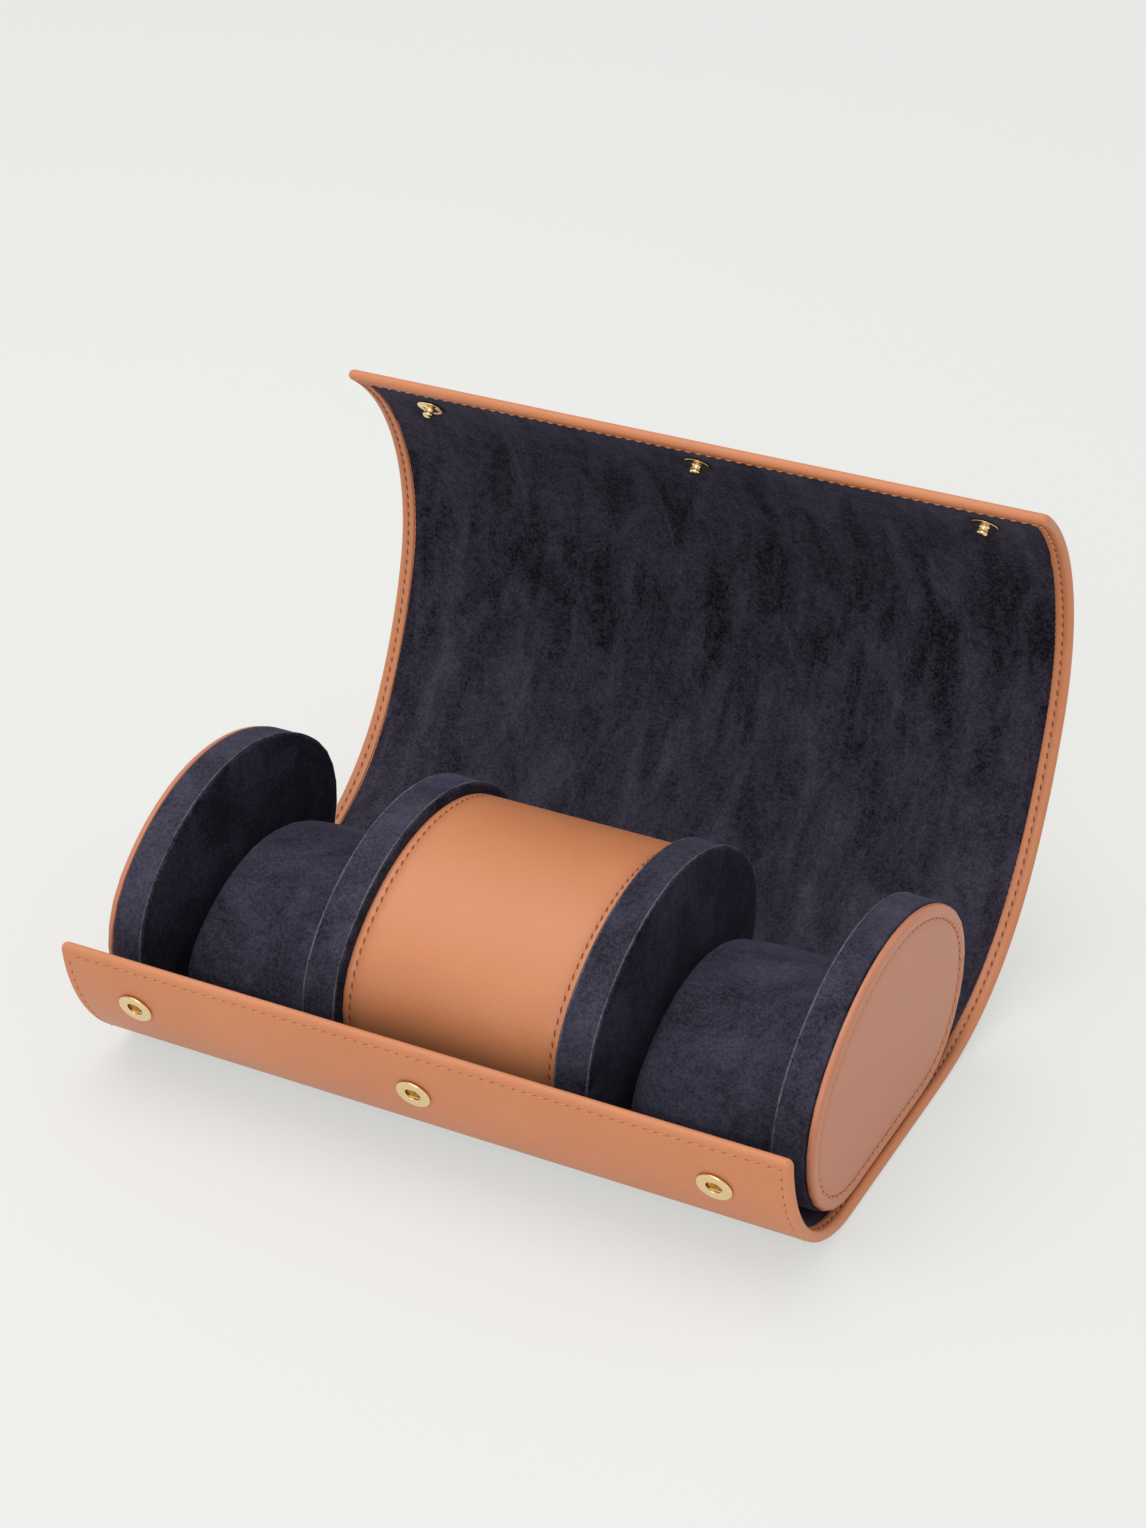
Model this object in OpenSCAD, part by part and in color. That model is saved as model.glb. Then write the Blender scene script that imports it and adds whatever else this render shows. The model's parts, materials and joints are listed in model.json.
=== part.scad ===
/* [Cover] */
// Length of the roll from end to end
cover_len = 210; // [180:1:240]
// Thickness of the outer leather
leather_t = 1.1; // [0.8:0.1:1.4]
// Thickness of the stiffener boards
board_t = 1; // [0.8:0.05:1.5]
// Thickness of the velvet lining
lining_t = 0.8; // [0.6:0.1:1.2]
// How far the flat base reaches past the discs' flat feet, front and back
foot_margin = 5; // [3:0.5:8]
// Width of the leather turned over onto the lining
hem_w = 4.5; // [3:0.5:7]
// Gap between one stiffened panel and the next
seam_gap = 0.3; // [0.2:0.1:0.6]
// Length of each lid panel along its curve, from the heel to the flap
lid_len = [12, 14, 16.5, 36.5, 42.5, 48, 31]; // [10:0.5:60]
// Turn of each lid panel along its curve when the roll stands open, in degrees
lid_turn = [4, 9, 14.5, 30, 18, 41.5, 30.5]; // [2:0.5:50]
// Length of each lip panel along its curve
lip_len = [30, 32]; // [20:1:40]
// Turn of each lip panel along its curve when the roll stands open, in degrees
lip_turn = [50, 38]; // [20:1:60]

/* [Discs] */
// Depth of the end caps and dividers, front to back
disc_w = 102; // [96:1:110]
// Height of the end caps and dividers
disc_h = 65.5; // [62:0.5:70]
// Radius of their two lower corners
disc_corner = 28; // [24:1:30]
// Thickness of an end cap without its leather face
cap_t = 9.7; // [6:0.1:12]
// Thickness of the leather face on an end cap
face_t = 2; // [1.6:0.1:3]
// Distance from the cover's end to the cap's leather face
cap_inset = 1.7; // [1:0.1:4]
// Thickness of a divider
divider_t = 10.6; // [6:0.1:14]
// Thickness of the velvet on caps, dividers and cushions
velvet_t = 0.8; // [0.6:0.1:1.2]

/* [Centre block] */
// Width of the leather band round the centre block
band_w = 63.2; // [50:0.2:70]
// How far the band lies below the rim of the dividers
band_drop = 3; // [1:0.5:6]
// Thickness of the leather band
band_t = 1.2; // [0.8:0.1:2]
// Thickness of the backing under the band
backing_t = 0.8; // [0.5:0.1:1.5]

/* [Watch cushions] */
// Play of a cushion along the roll in its space
cushion_play = 5; // [2:0.5:12]
// Depth of a cushion, front to back
cushion_d = 80; // [70:1:86]
// Height of a cushion
cushion_h = 43; // [36:1:46]
// Radius of a cushion's two lower corners
cushion_corner = 17; // [12:1:18]
// How far a cushion's middle stands above its ends
cushion_crown = 1.4; // [0.5:0.1:2.5]
// Radius of the rounding at a cushion's ends
cushion_round = 3.5; // [2:0.5:6]
// How far a cushion sits forward of the middle
cushion_shift = 3; // [0:0.5:6]

/* [Snap fasteners] */
// Distance between neighbouring snaps along the roll
snap_pitch = 84; // [70:1:95]
// Distance of the sockets from the lip's edge
socket_back = 15; // [12:0.5:20]
// Distance of the studs from the flap's edge
stud_back = 15; // [12:0.5:20]
// Diameter of a socket plate
socket_d = 9.8; // [8:0.1:12]
// Diameter of a stud's flange
flange_d = 8; // [6:0.1:9]
// Diameter of a stud's head
head_d = 3.4; // [2.8:0.1:3.6]
// Height of a stud above the lining
stud_h = 3.3; // [2.8:0.1:3.6]

/* [Hidden] */
$fn = 144;
eps = 0.5;                       // overshoot of a cutting shape
fit = 0.05;                      // clearance between glued layers
touch = 0.3;                     // clearance between pieces that only rest on each other
board_in = lining_t + fit;       // depth of the board's inner face
leather_in = board_in + board_t + fit;
wall = leather_in + leather_t;   // whole thickness of the cover
floor_z = wall;                  // the base lining's upper face
cover_half = cover_len / 2;
foot_half = disc_w / 2 - disc_corner;
base_half = foot_half + foot_margin;
leather_tan = "#c4825e";
hem_tan = "#b87452";
navy = "#2a2833";
gold = "#e2c386";
card_grey = "#9a9388";
foam_white = "#d8d4c8";

// Curve of the cover: a frame is [y, z, heading] on the inner face
function arc_r(len, turn) = len * 180 / (PI * turn);
function arc_step(f, r, turn) = [
    f[0] + r * (sin(f[2] + turn) - sin(f[2])),
    f[1] + r * (cos(f[2]) - cos(f[2] + turn)),
    f[2] + turn
];
function chain_frame(lens, turns, i) = i == 0
    ? [base_half, floor_z, 0]
    : arc_step(chain_frame(lens, turns, i - 1), arc_r(lens[i - 1], turns[i - 1]), turns[i - 1]);
function chain_point(lens, turns, i, s) =
    arc_step(chain_frame(lens, turns, i), arc_r(lens[i], turns[i]), turns[i] * s / lens[i]);

// A curved slab of panel i from s0 to s1 along the curve, and from depth d0 to d1 below the lining's face
module curved_slab(lens, turns, i, s0, s1, d0, d1, half) {
    f = chain_frame(lens, turns, i);
    r = arc_r(lens[i], turns[i]);
    per_mm = turns[i] / lens[i];
    translate([0, f[0] - r * sin(f[2]), f[1] + r * cos(f[2])])
        rotate([90, 0, 90])
            rotate([0, 0, f[2] - 90 + s0 * per_mm])
                rotate_extrude(angle = (s1 - s0) * per_mm)
                    translate([r + d0, -half])
                        square([d1 - d0, 2 * half]);
}

// Leather of a panel: skin, side walls and the hem turned onto the lining, also at a free end if is_edge
module panel_leather(lens, turns, i, is_edge) {
    len = lens[i];
    far = is_edge ? len : len - seam_gap / 2;
    color(leather_tan)
        difference() {
            curved_slab(lens, turns, i, seam_gap / 2, far, 0, wall, cover_half);
            curved_slab(lens, turns, i, -eps, is_edge ? len - leather_t : len + eps,
                lining_t, leather_in, cover_half - leather_t);
            curved_slab(lens, turns, i, -eps, is_edge ? len - hem_w : len + eps,
                -eps, lining_t + fit, cover_half - hem_w);
        }
}

module panel_board(lens, turns, i, is_edge) {
    color(card_grey)
        curved_slab(lens, turns, i, seam_gap / 2, lens[i] - (is_edge ? leather_t + fit : seam_gap / 2),
            board_in, board_in + board_t, cover_half - leather_t - fit);
}

module panel_lining(lens, turns, i, is_edge) {
    color(navy)
        curved_slab(lens, turns, i, seam_gap / 2, lens[i] - (is_edge ? hem_w + fit : seam_gap / 2),
            0, lining_t, cover_half - hem_w - fit);
}

module lid_leather(i) panel_leather(lid_len, lid_turn, i, false);
module lid_board(i) panel_board(lid_len, lid_turn, i, false);
module lid_lining(i) panel_lining(lid_len, lid_turn, i, false);

// Flat base of the cover
module base_slab(half, z0, z1) {
    y = base_half - seam_gap / 2;
    translate([-half, -y, z0]) cube([2 * half, 2 * y, z1 - z0]);
}

module base_leather() {
    color(leather_tan)
        difference() {
            base_slab(cover_half, 0, wall);
            translate([-cover_half + leather_t, -base_half, leather_t])
                cube([cover_len - 2 * leather_t, 2 * base_half, leather_in - lining_t]);
            translate([-cover_half + hem_w, -base_half, wall - lining_t - fit])
                cube([cover_len - 2 * hem_w, 2 * base_half, wall]);
        }
}

module base_board()
    color(card_grey) base_slab(cover_half - leather_t - fit, leather_t + fit, leather_t + fit + board_t);

module base_lining()
    color(navy) base_slab(cover_half - hem_w - fit, wall - lining_t, wall);

// Front lip: the lid's panels mirrored to the front
module lip_lower_leather() mirror([0, 1, 0]) panel_leather(lip_len, lip_turn, 0, false);
module lip_lower_board() mirror([0, 1, 0]) panel_board(lip_len, lip_turn, 0, false);
module lip_lower_lining() mirror([0, 1, 0]) panel_lining(lip_len, lip_turn, 0, false);
module lip_upper_leather()
    difference() {
        mirror([0, 1, 0]) panel_leather(lip_len, lip_turn, 1, true);
        at_sockets() depth_cylinder(barrel_d + 2 * fit, lining_t, wall + eps);
    }
module lip_upper_board()
    difference() {
        mirror([0, 1, 0]) panel_board(lip_len, lip_turn, 1, true);
        at_sockets() depth_cylinder(barrel_d + 2 * fit, 0, wall);
        at_sockets() depth_cylinder(backcap_d + 2 * fit, 0, board_in + backcap_t + 2 * fit);
    }
module lip_upper_lining() mirror([0, 1, 0]) panel_lining(lip_len, lip_turn, 1, true);

// Closing flap at the lid's end
flap = len(lid_len) - 1;
module flap_leather() panel_leather(lid_len, lid_turn, flap, true);
module flap_board()
    difference() {
        panel_board(lid_len, lid_turn, flap, true);
        at_studs() depth_cylinder(rivet_d + 2 * fit, 0, wall);
        at_studs() depth_cylinder(backcap_d + 2 * fit, rivet_seat - fit, wall);
    }
module flap_lining()
    difference() {
        panel_lining(lid_len, lid_turn, flap, true);
        at_studs() depth_cylinder(rivet_d + 2 * fit, -eps, wall);
    }

// Snap fasteners
barrel_d = 5.4;                  // tube of a socket's back, through board and leather
socket_bore = 4.4;
socket_t = 0.9;
spring_wire = 0.4;
spring_ring = 5.4;               // mean diameter of the ring spring
backcap_d = 8.6;
backcap_t = 0.4;
rivet_d = 1.9;
cap_sag = pow(backcap_d / 2, 2) / (2 * arc_r(lid_len[flap], lid_turn[flap]));
rivet_seat = leather_in - fit - backcap_t - cap_sag;
flange_lift = 0.15;              // flange above the hollow of the curved lining
flange_t = 0.4;
neck_d = 2.6;
head_t = 0.9;                    // height of a stud's head
head_round = 0.5;                // chamfer round the head's top
head_taper = 0.4;                // slope from neck to head
snap_xs = [-snap_pitch, 0, snap_pitch];

module place(p) translate([0, p[0], p[1]]) rotate([p[2], 0, 0]) children();
module at_sockets() {
    s = lip_len[1] - socket_back;
    for (x = snap_xs)
        translate([x, 0, 0]) mirror([0, 1, 0]) place(chain_point(lip_len, lip_turn, 1, s)) children();
}
module at_studs() {
    s = lid_len[flap] - stud_back;
    for (x = snap_xs)
        translate([x, 0, 0]) place(chain_point(lid_len, lid_turn, flap, s)) children();
}
// A cylinder across the wall, between two depths below the lining's face
module depth_cylinder(d, d0, d1) translate([0, 0, -d1]) cylinder(d = d, h = d1 - d0);

module socket_plates() {
    color(gold) at_sockets() difference() {
        depth_cylinder(socket_d, wall, wall + socket_t);
        depth_cylinder(socket_bore, wall - eps, wall + socket_t + eps);
        depth_cylinder(spring_ring + 2 * spring_wire, wall - eps, wall + socket_t / 2 + fit);
    }
}
module socket_springs() {
    color("silver") at_sockets() translate([0, 0, -wall - spring_wire / 2 - fit])
        rotate_extrude() translate([spring_ring / 2, 0]) circle(d = spring_wire, $fn = 24);
}
module socket_backs() {
    color("silver") at_sockets() difference() {
        union() {
            depth_cylinder(backcap_d, board_in, board_in + backcap_t);
            depth_cylinder(barrel_d, board_in, wall);
        }
        depth_cylinder(socket_bore, board_in + backcap_t, wall + eps);
    }
}
module stud_heads() {
    base = flange_lift + flange_t;
    color(gold) at_studs() difference() {
        union() {
            translate([0, 0, flange_lift]) cylinder(d = flange_d, h = flange_t);
            rotate_extrude() polygon([
                [0, base - fit], [neck_d / 2, base - fit], [neck_d / 2, stud_h - head_t - head_taper],
                [head_d / 2, stud_h - head_t], [head_d / 2, stud_h - head_round],
                [head_d / 2 - head_round, stud_h], [0, stud_h]
            ]);
        }
        translate([0, 0, -eps]) cylinder(d = rivet_d + 2 * fit, h = eps + stud_h / 2);
    }
}
module stud_backs() {
    color("silver") at_studs() union() {
        depth_cylinder(backcap_d, rivet_seat, rivet_seat + backcap_t);
        translate([0, 0, -rivet_seat - fit]) cylinder(d = rivet_d, h = rivet_seat + stud_h / 2 - fit);
    }
}

// Dome outline: flat foot, round lower corners and an arch tangent to them, drawn in by inset above foot
function arch_z(w, h, cr) = (pow(h - cr, 2) - pow(w / 2 - cr, 2) - pow(cr, 2)) / (2 * (h - 2 * cr));
function arch_rise(w, h, cr) = h - arch_z(w, h, cr);
module dome(w, h, cr, inset, foot) {
    cx = w / 2 - cr;
    az = arch_z(w, h, cr);
    far = 3 * h;
    reach = far / norm([cx, cr - az]);
    side = [cx * reach, az + (cr - az) * reach];
    union() {
        for (s = [-1, 1]) translate([s * cx, cr]) circle(cr - inset);
        translate([-cx, foot]) square([2 * cx, cr - foot]);
        intersection() {
            translate([0, az]) circle(arch_rise(w, h, cr) - inset);
            polygon([[0, az], side, [side[0], far], [-side[0], far], [-side[0], side[1]]]);
            translate([-w, foot]) square([2 * w, far]);
        }
    }
}
module along_x(x0, x1) translate([x0, 0, floor_z]) rotate([90, 0, 90]) linear_extrude(x1 - x0) children();
module disc(inset, foot) dome(disc_w, disc_h, disc_corner, inset, foot);
below = -2 * eps;                // foot of a shape that cuts through the bottom

// End caps, drawn at the right end and mirrored to the left
cap_out = cover_half - cap_inset;
face_in = cap_out - face_t;
cap_in = face_in - cap_t;
turned_w = 8;                    // velvet turned onto a cap's outer side
turned_t = 0.5;
card_t = 0.9;
face_inset = 0.4;
module cap_core()
    color(card_grey) along_x(cap_in + velvet_t + fit, face_in - turned_t - fit) disc(velvet_t + fit, 0);
module cap_velvet()
    color(navy) difference() {
        along_x(cap_in, face_in) disc(0, 0);
        along_x(cap_in + velvet_t, face_in - turned_t) disc(velvet_t, below);
        along_x(face_in - turned_t - eps, face_in + eps) disc(turned_w, below);
    }
module cap_face_card()
    color(card_grey) along_x(face_in + fit, face_in + fit + card_t)
        disc(face_inset + leather_t + fit, face_inset + leather_t);
module cap_face_leather()
    color(hem_tan) difference() {
        along_x(face_in, cap_out) disc(face_inset, face_inset);
        along_x(face_in - eps, face_in + card_t + 2 * fit)
            disc(face_inset + leather_t, face_inset + leather_t - fit);
    }
module on_left() mirror([1, 0, 0]) children();

// Dividers on both sides of the centre block
divider_in = band_w / 2 + fit;
divider_out = divider_in + divider_t;
module divider_core()
    color(foam_white) along_x(divider_in + velvet_t + fit, divider_out - velvet_t - fit)
        disc(velvet_t + fit, 0);
module divider_velvet()
    color(navy) difference() {
        along_x(divider_in, divider_out) disc(0, 0);
        along_x(divider_in + velvet_t, divider_out - velvet_t) disc(velvet_t, below);
    }

// Centre block with its leather band
backing_in = band_drop + band_t + fit;
core_in = backing_in + backing_t + fit;
module centre_core()
    color(foam_white) along_x(-band_w / 2, band_w / 2) disc(core_in, 0);
module centre_backing()
    color(card_grey) difference() {
        along_x(-band_w / 2, band_w / 2) disc(backing_in, backing_in);
        along_x(-band_w, band_w) disc(backing_in + backing_t, below);
    }
module centre_band()
    color(leather_tan) difference() {
        along_x(-band_w / 2, band_w / 2) disc(band_drop, band_drop);
        along_x(-band_w, band_w) disc(band_drop + band_t, below);
    }

// Watch cushions: domed rolls with a crown and round ends, swept as rings along X
cushion_w = cap_in - divider_out - touch - cushion_play;
corner_steps = 5;
arch_steps = 12;
end_steps = 4;
middle_steps = 6;
function arc_points(c, r, a0, a1, n) =
    [for (i = [0 : n]) let (a = a0 + (a1 - a0) * i / n) c + r * [cos(a), sin(a)]];
function cushion_ring(inset) = let (
    cr = cushion_corner,
    cx = cushion_d / 2 - cr,
    az = arch_z(cushion_d, cushion_h, cr),
    lean = atan2(cr - az, cx)
) concat(
    arc_points([cx, cr], cr - inset, -90, lean, corner_steps),
    arc_points([0, az], cushion_h - az - inset, lean + 5, 175 - lean, arch_steps),
    arc_points([-cx, cr], cr - inset, 180 - lean, 270, corner_steps)
);
function end_round(x, half) = let (over = max(0, abs(x) - (half - cushion_round)))
    cushion_round - sqrt(max(0, pow(cushion_round, 2) - pow(over, 2)));
function cushion_inset(x, half) = cushion_crown * pow(x / half, 2) + end_round(x, half);
function cushion_stations(half) = concat(
    [for (i = [0 : end_steps - 1]) -half + cushion_round * (1 - cos(90 * i / end_steps))],
    [for (i = [0 : middle_steps]) (half - cushion_round) * (2 * i / middle_steps - 1)],
    [for (i = [end_steps - 1 : -1 : 0]) half - cushion_round * (1 - cos(90 * i / end_steps))]
);
// The closed form, shrunk by skin on every side
module cushion_form(skin) {
    half = cushion_w / 2;
    stations = cushion_stations(half);
    rings = [for (x = stations) [for (p = cushion_ring(cushion_inset(x, half) + skin))
        [x * (half - skin) / half, p[0], p[1]]]];
    n = len(rings[0]);
    k = len(rings);
    sides = [for (j = [0 : k - 2]) for (i = [0 : n - 1]) let (a = j * n + i, b = j * n + (i + 1) % n)
        each [[a, b, b + n], [a, b + n, a + n]]];
    ends = [for (i = [1 : n - 2]) each [[0, i + 1, i], [(k - 1) * n, (k - 1) * n + i, (k - 1) * n + i + 1]]];
    polyhedron([for (r = rings) each r], concat([for (t = concat(sides, ends)) [t[0], t[2], t[1]]]));
}
left_cushion_x = -divider_out - touch - cushion_w / 2;
right_cushion_x = cap_in - touch - cushion_w / 2;
slit_w = 1;
slit_len = foot_half * 1.6;
module seat_cushion(x) translate([x, -cushion_shift, floor_z + touch]) children();
module cushion_cover()
    color(navy) difference() {
        cushion_form(0);
        cushion_form(velvet_t);
        translate([-slit_w / 2, -slit_len / 2, -eps])
            cube([slit_w, slit_len, eps + cushion_crown + velvet_t]);
    }
module cushion_foam() color(foam_white) cushion_form(velvet_t + fit);

base_leather();
base_board();
base_lining();
lip_lower_leather();
lip_lower_board();
lip_lower_lining();
lip_upper_leather();
lip_upper_board();
lip_upper_lining();
lid_leather(0);  // lid_1_leather
lid_board(0);  // lid_1_board
lid_lining(0);  // lid_1_lining
lid_leather(1);  // lid_2_leather
lid_board(1);  // lid_2_board
lid_lining(1);  // lid_2_lining
lid_leather(2);  // lid_3_leather
lid_board(2);  // lid_3_board
lid_lining(2);  // lid_3_lining
lid_leather(3);  // lid_4_leather
lid_board(3);  // lid_4_board
lid_lining(3);  // lid_4_lining
lid_leather(4);  // lid_5_leather
lid_board(4);  // lid_5_board
lid_lining(4);  // lid_5_lining
lid_leather(5);  // lid_6_leather
lid_board(5);  // lid_6_board
lid_lining(5);  // lid_6_lining
flap_leather();
flap_board();
flap_lining();
socket_plates();
socket_springs();
socket_backs();
stud_heads();
stud_backs();
on_left() cap_core();  // left_cap_core
on_left() cap_velvet();  // left_cap_velvet
on_left() cap_face_card();  // left_cap_face_card
on_left() cap_face_leather();  // left_cap_face_leather
cap_core();  // right_cap_core
cap_velvet();  // right_cap_velvet
cap_face_card();  // right_cap_face_card
cap_face_leather();  // right_cap_face_leather
on_left() divider_core();  // left_divider_core
on_left() divider_velvet();  // left_divider_velvet
divider_core();  // right_divider_core
divider_velvet();  // right_divider_velvet
centre_core();
centre_backing();
centre_band();
seat_cushion(left_cushion_x) cushion_foam();  // left_cushion_foam
seat_cushion(left_cushion_x) cushion_cover();  // left_cushion_cover
seat_cushion(right_cushion_x) cushion_foam();  // right_cushion_foam
seat_cushion(right_cushion_x) cushion_cover();  // right_cushion_cover
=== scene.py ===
# %% [markdown]
# A leather watch roll stands open on a table. Its cover is one long strip of leather that bends up into a
# front lip and a curved lid. Inside stand velvet discs, a leather band and two velvet watch cushions. The
# solids come from the CAD frame, which also holds the joints. The frame is loaded first, so that every new
# piece can ride on one of its bodies. Sizes are written in millimetres, and mm turns them into metres.

import json
import math
from collections import namedtuple

import bmesh
import bpy
import numpy as np
from mathutils import Matrix, Vector, noise

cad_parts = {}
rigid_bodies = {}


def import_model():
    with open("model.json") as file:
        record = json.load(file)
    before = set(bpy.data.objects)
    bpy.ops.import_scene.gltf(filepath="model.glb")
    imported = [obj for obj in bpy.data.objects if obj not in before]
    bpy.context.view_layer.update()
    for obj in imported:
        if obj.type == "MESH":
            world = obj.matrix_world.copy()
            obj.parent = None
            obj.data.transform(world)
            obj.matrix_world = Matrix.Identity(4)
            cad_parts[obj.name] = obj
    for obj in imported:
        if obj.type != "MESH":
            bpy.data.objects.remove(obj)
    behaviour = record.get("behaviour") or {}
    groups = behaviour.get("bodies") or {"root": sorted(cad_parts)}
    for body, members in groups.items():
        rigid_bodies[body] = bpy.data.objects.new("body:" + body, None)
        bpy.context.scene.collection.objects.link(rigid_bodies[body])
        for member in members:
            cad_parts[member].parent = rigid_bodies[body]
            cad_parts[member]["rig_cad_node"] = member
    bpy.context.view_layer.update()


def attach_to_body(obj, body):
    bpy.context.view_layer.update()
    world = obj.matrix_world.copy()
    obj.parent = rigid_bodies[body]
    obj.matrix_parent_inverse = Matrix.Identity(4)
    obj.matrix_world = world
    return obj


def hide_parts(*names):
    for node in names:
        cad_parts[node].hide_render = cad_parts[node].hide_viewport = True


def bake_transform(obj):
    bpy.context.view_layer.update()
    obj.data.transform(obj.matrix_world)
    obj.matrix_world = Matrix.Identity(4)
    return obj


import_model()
scene = bpy.context.scene
mm = 0.001

# %% [markdown]
# The camera comes next, because everything is judged from it. It looks down over the lip from the front, a
# little to the right. It could be placed by eye, but then no size could be trusted. Its place was worked out
# from the photograph's own points instead, such as the snaps and the lid's corners. Angles are in radians.

# %% Camera
AZIMUTH, ELEVATION, ROLL = 0.48094, 0.53629, -0.009177
DISTANCE, TARGET = 919.6, Vector((-16.900, 55.345, 56.815))
LENS, SENSOR = 77.81, 36
level = math.cos(ELEVATION)
back = Vector((math.sin(AZIMUTH) * level, -math.cos(AZIMUTH) * level, math.sin(ELEVATION)))
side = Vector((0, 0, 1)).cross(back).normalized()
up = back.cross(side)
cam_x = math.cos(ROLL) * side + math.sin(ROLL) * up
cam_y = -math.sin(ROLL) * side + math.cos(ROLL) * up
camera = bpy.data.objects.new("camera", bpy.data.cameras.new("camera"))
scene.collection.objects.link(camera)
turn = Matrix((cam_x, cam_y, back)).transposed().to_4x4()
camera.matrix_world = Matrix.Translation((TARGET + DISTANCE * back) * mm) @ turn
camera.data.sensor_fit = "VERTICAL"
camera.data.sensor_height = SENSOR
camera.data.lens = LENS
camera.data.clip_start = 0.01
scene.camera = camera
print("camera at", [round(v, 3) for v in camera.matrix_world.translation])

# %% [markdown]
# An operator works on all that is selected, and the CAD nodes are selected after loading. So each step
# starts from an empty selection. A finished piece keeps its place in its mesh, so that its object sits at
# the origin, as a CAD node's does, and its shading is smooth but for its sharp edges.

# %% Helpers for selecting and finishing
def only(*objects):
    """Select just these objects; the last one is active."""
    if bpy.context.object and bpy.context.object.mode != "OBJECT":
        bpy.ops.object.mode_set(mode="OBJECT")
    bpy.ops.object.select_all(action="DESELECT")
    for o in objects:
        o.select_set(True)
    bpy.context.view_layer.objects.active = objects[-1]


def edit(obj, mode="FACE"):
    """Go into edit mode with nothing selected."""
    only(obj)
    bpy.ops.object.mode_set(mode="EDIT")
    bpy.ops.mesh.select_mode(type=mode)
    bpy.ops.mesh.select_all(action="DESELECT")


def settle():
    """Write the selected object's place, turn and scale into its mesh."""
    bpy.ops.object.transform_apply(location=True, rotation=True, scale=True)


def finish(obj, name, material, angle=40):
    """Name a piece, give it its material and smooth its faces up to an angle in degrees."""
    only(obj)
    settle()
    obj.name = obj.data.name = name
    obj.data.materials.clear()
    obj.data.materials.append(material)
    bpy.ops.object.shade_smooth_by_angle(angle=math.radians(angle))
    return obj


# %% [markdown]
# Finishes are made of shader nodes. These helpers add a node, stretch a value or do a sum, so that each
# finish below reads as a short recipe. The scale of a noise counts its cells per metre.

# %% Helpers for nodes
def add(tree, kind, links=None, **values):
    """Add a node. A name with a capital is a socket, in_1 is a socket's number, the rest are settings."""
    n = tree.nodes.new(kind)
    for key, value in values.items():
        if key.startswith("in_"):
            n.inputs[int(key[3:])].default_value = value
        elif key[0].isupper():
            n.inputs[key.replace("_", " ")].default_value = value
        else:
            setattr(n, key, value)
    for socket, source in (links or {}).items():
        tree.links.new(source, n.inputs[socket])
    return n


def soft_noise(tree, vector, **values):
    return add(tree, "ShaderNodeTexNoise", {"Vector": vector}, **values).outputs[0]


def ramp(tree, value, **values):
    """Stretch the range of a value; what lies past its ends is clamped."""
    return add(tree, "ShaderNodeMapRange", {"Value": value}, **values).outputs[0]


def maths(tree, operation, *terms, **values):
    """A sum of terms, each of which is a socket or a plain number."""
    links = {}
    for k, term in enumerate(terms):
        if isinstance(term, (int, float)):
            values[f"in_{k}"] = term
        else:
            links[k] = term
    return add(tree, "ShaderNodeMath", links, operation=operation, **values).outputs[0]


def node_group(name, inputs, outputs):
    """An empty group with named sockets: the group, what goes into it and what it puts out."""
    group = bpy.data.node_groups.new(name, "ShaderNodeTree")
    for label, kind, value in inputs:
        socket = group.interface.new_socket(name=label, in_out="INPUT", socket_type=kind)
        if value is not None:
            socket.default_value = value
    for label, kind in outputs:
        group.interface.new_socket(name=label, in_out="OUTPUT", socket_type=kind)
    return group, group.nodes.new("NodeGroupInput").outputs, group.nodes.new("NodeGroupOutput").inputs


# %% [markdown]
# No real surface has one flat colour. Soft clouds of a slightly different tone break it up, on leather and
# metal alike. More than one finish uses them, so they are a node group. A group puts out masks and normals
# only, and the shader stays outside it, where the export can read it.

# %% Clouds
def clouds_group():
    """Soft noise, put out as a mask about a middle of 0.5."""
    g, given, put_out = node_group(
        "clouds", [("Vector", "NodeSocketVector", None), ("Scale", "NodeSocketFloat", 30.0)],
        [("Mask", "NodeSocketFloat")])
    big = add(g, "ShaderNodeTexNoise", {"Vector": given[0], "Scale": given[1]}, Detail=3.0, Roughness=0.55)
    g.links.new(big.outputs[0], put_out[0])
    return g


CLOUDS = clouds_group()
print("group", CLOUDS.name)

# %% [markdown]
# Leather has a grain: tiny cells with creases between them. A Voronoi texture gives the cells, and two
# noises add a fine roughness and the slow swell of the hide. The grain is far too fine to model, so it goes
# into the normal. The cells are put out as well, so that a leather can paint shade into its creases.

# %% Leather grain
GRAIN_CELLS, GRAIN_ROUGHNESS, GRAIN_SWELL, GRAIN_DEPTH = 1300.0, 2600.0, 160.0, 0.00012


def grain_group():
    g, given, put_out = node_group(
        "leather_grain", [("Vector", "NodeSocketVector", None), ("Strength", "NodeSocketFloat", 0.2)],
        [("Normal", "NodeSocketVector"), ("Crease", "NodeSocketFloat")])
    cells = add(g, "ShaderNodeTexVoronoi", {"Vector": given[0]}, feature="F1", Scale=GRAIN_CELLS).outputs[0]
    fine = soft_noise(g, given[0], Scale=GRAIN_ROUGHNESS, Detail=2.0)
    slow = soft_noise(g, given[0], Scale=GRAIN_SWELL, Detail=3.0)
    height = maths(g, "ADD", maths(g, "ADD", cells, fine), slow)
    bump = add(g, "ShaderNodeBump", {"Strength": given[1], "Height": height}, Distance=GRAIN_DEPTH)
    g.links.new(bump.outputs[0], put_out[0])
    g.links.new(cells, put_out[1])
    return g


GRAIN = grain_group()
print("group", GRAIN.name)

# %% [markdown]
# Velvet is a pile of standing fibres. Hair could be grown on it, but on cloth this fine it would only cost
# time. Three noises stand in for the pile: broad strokes where a hand has brushed it, tufts, and single
# fibres. Each is stretched to a mask, and their weighted sum says how light the pile is.

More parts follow.
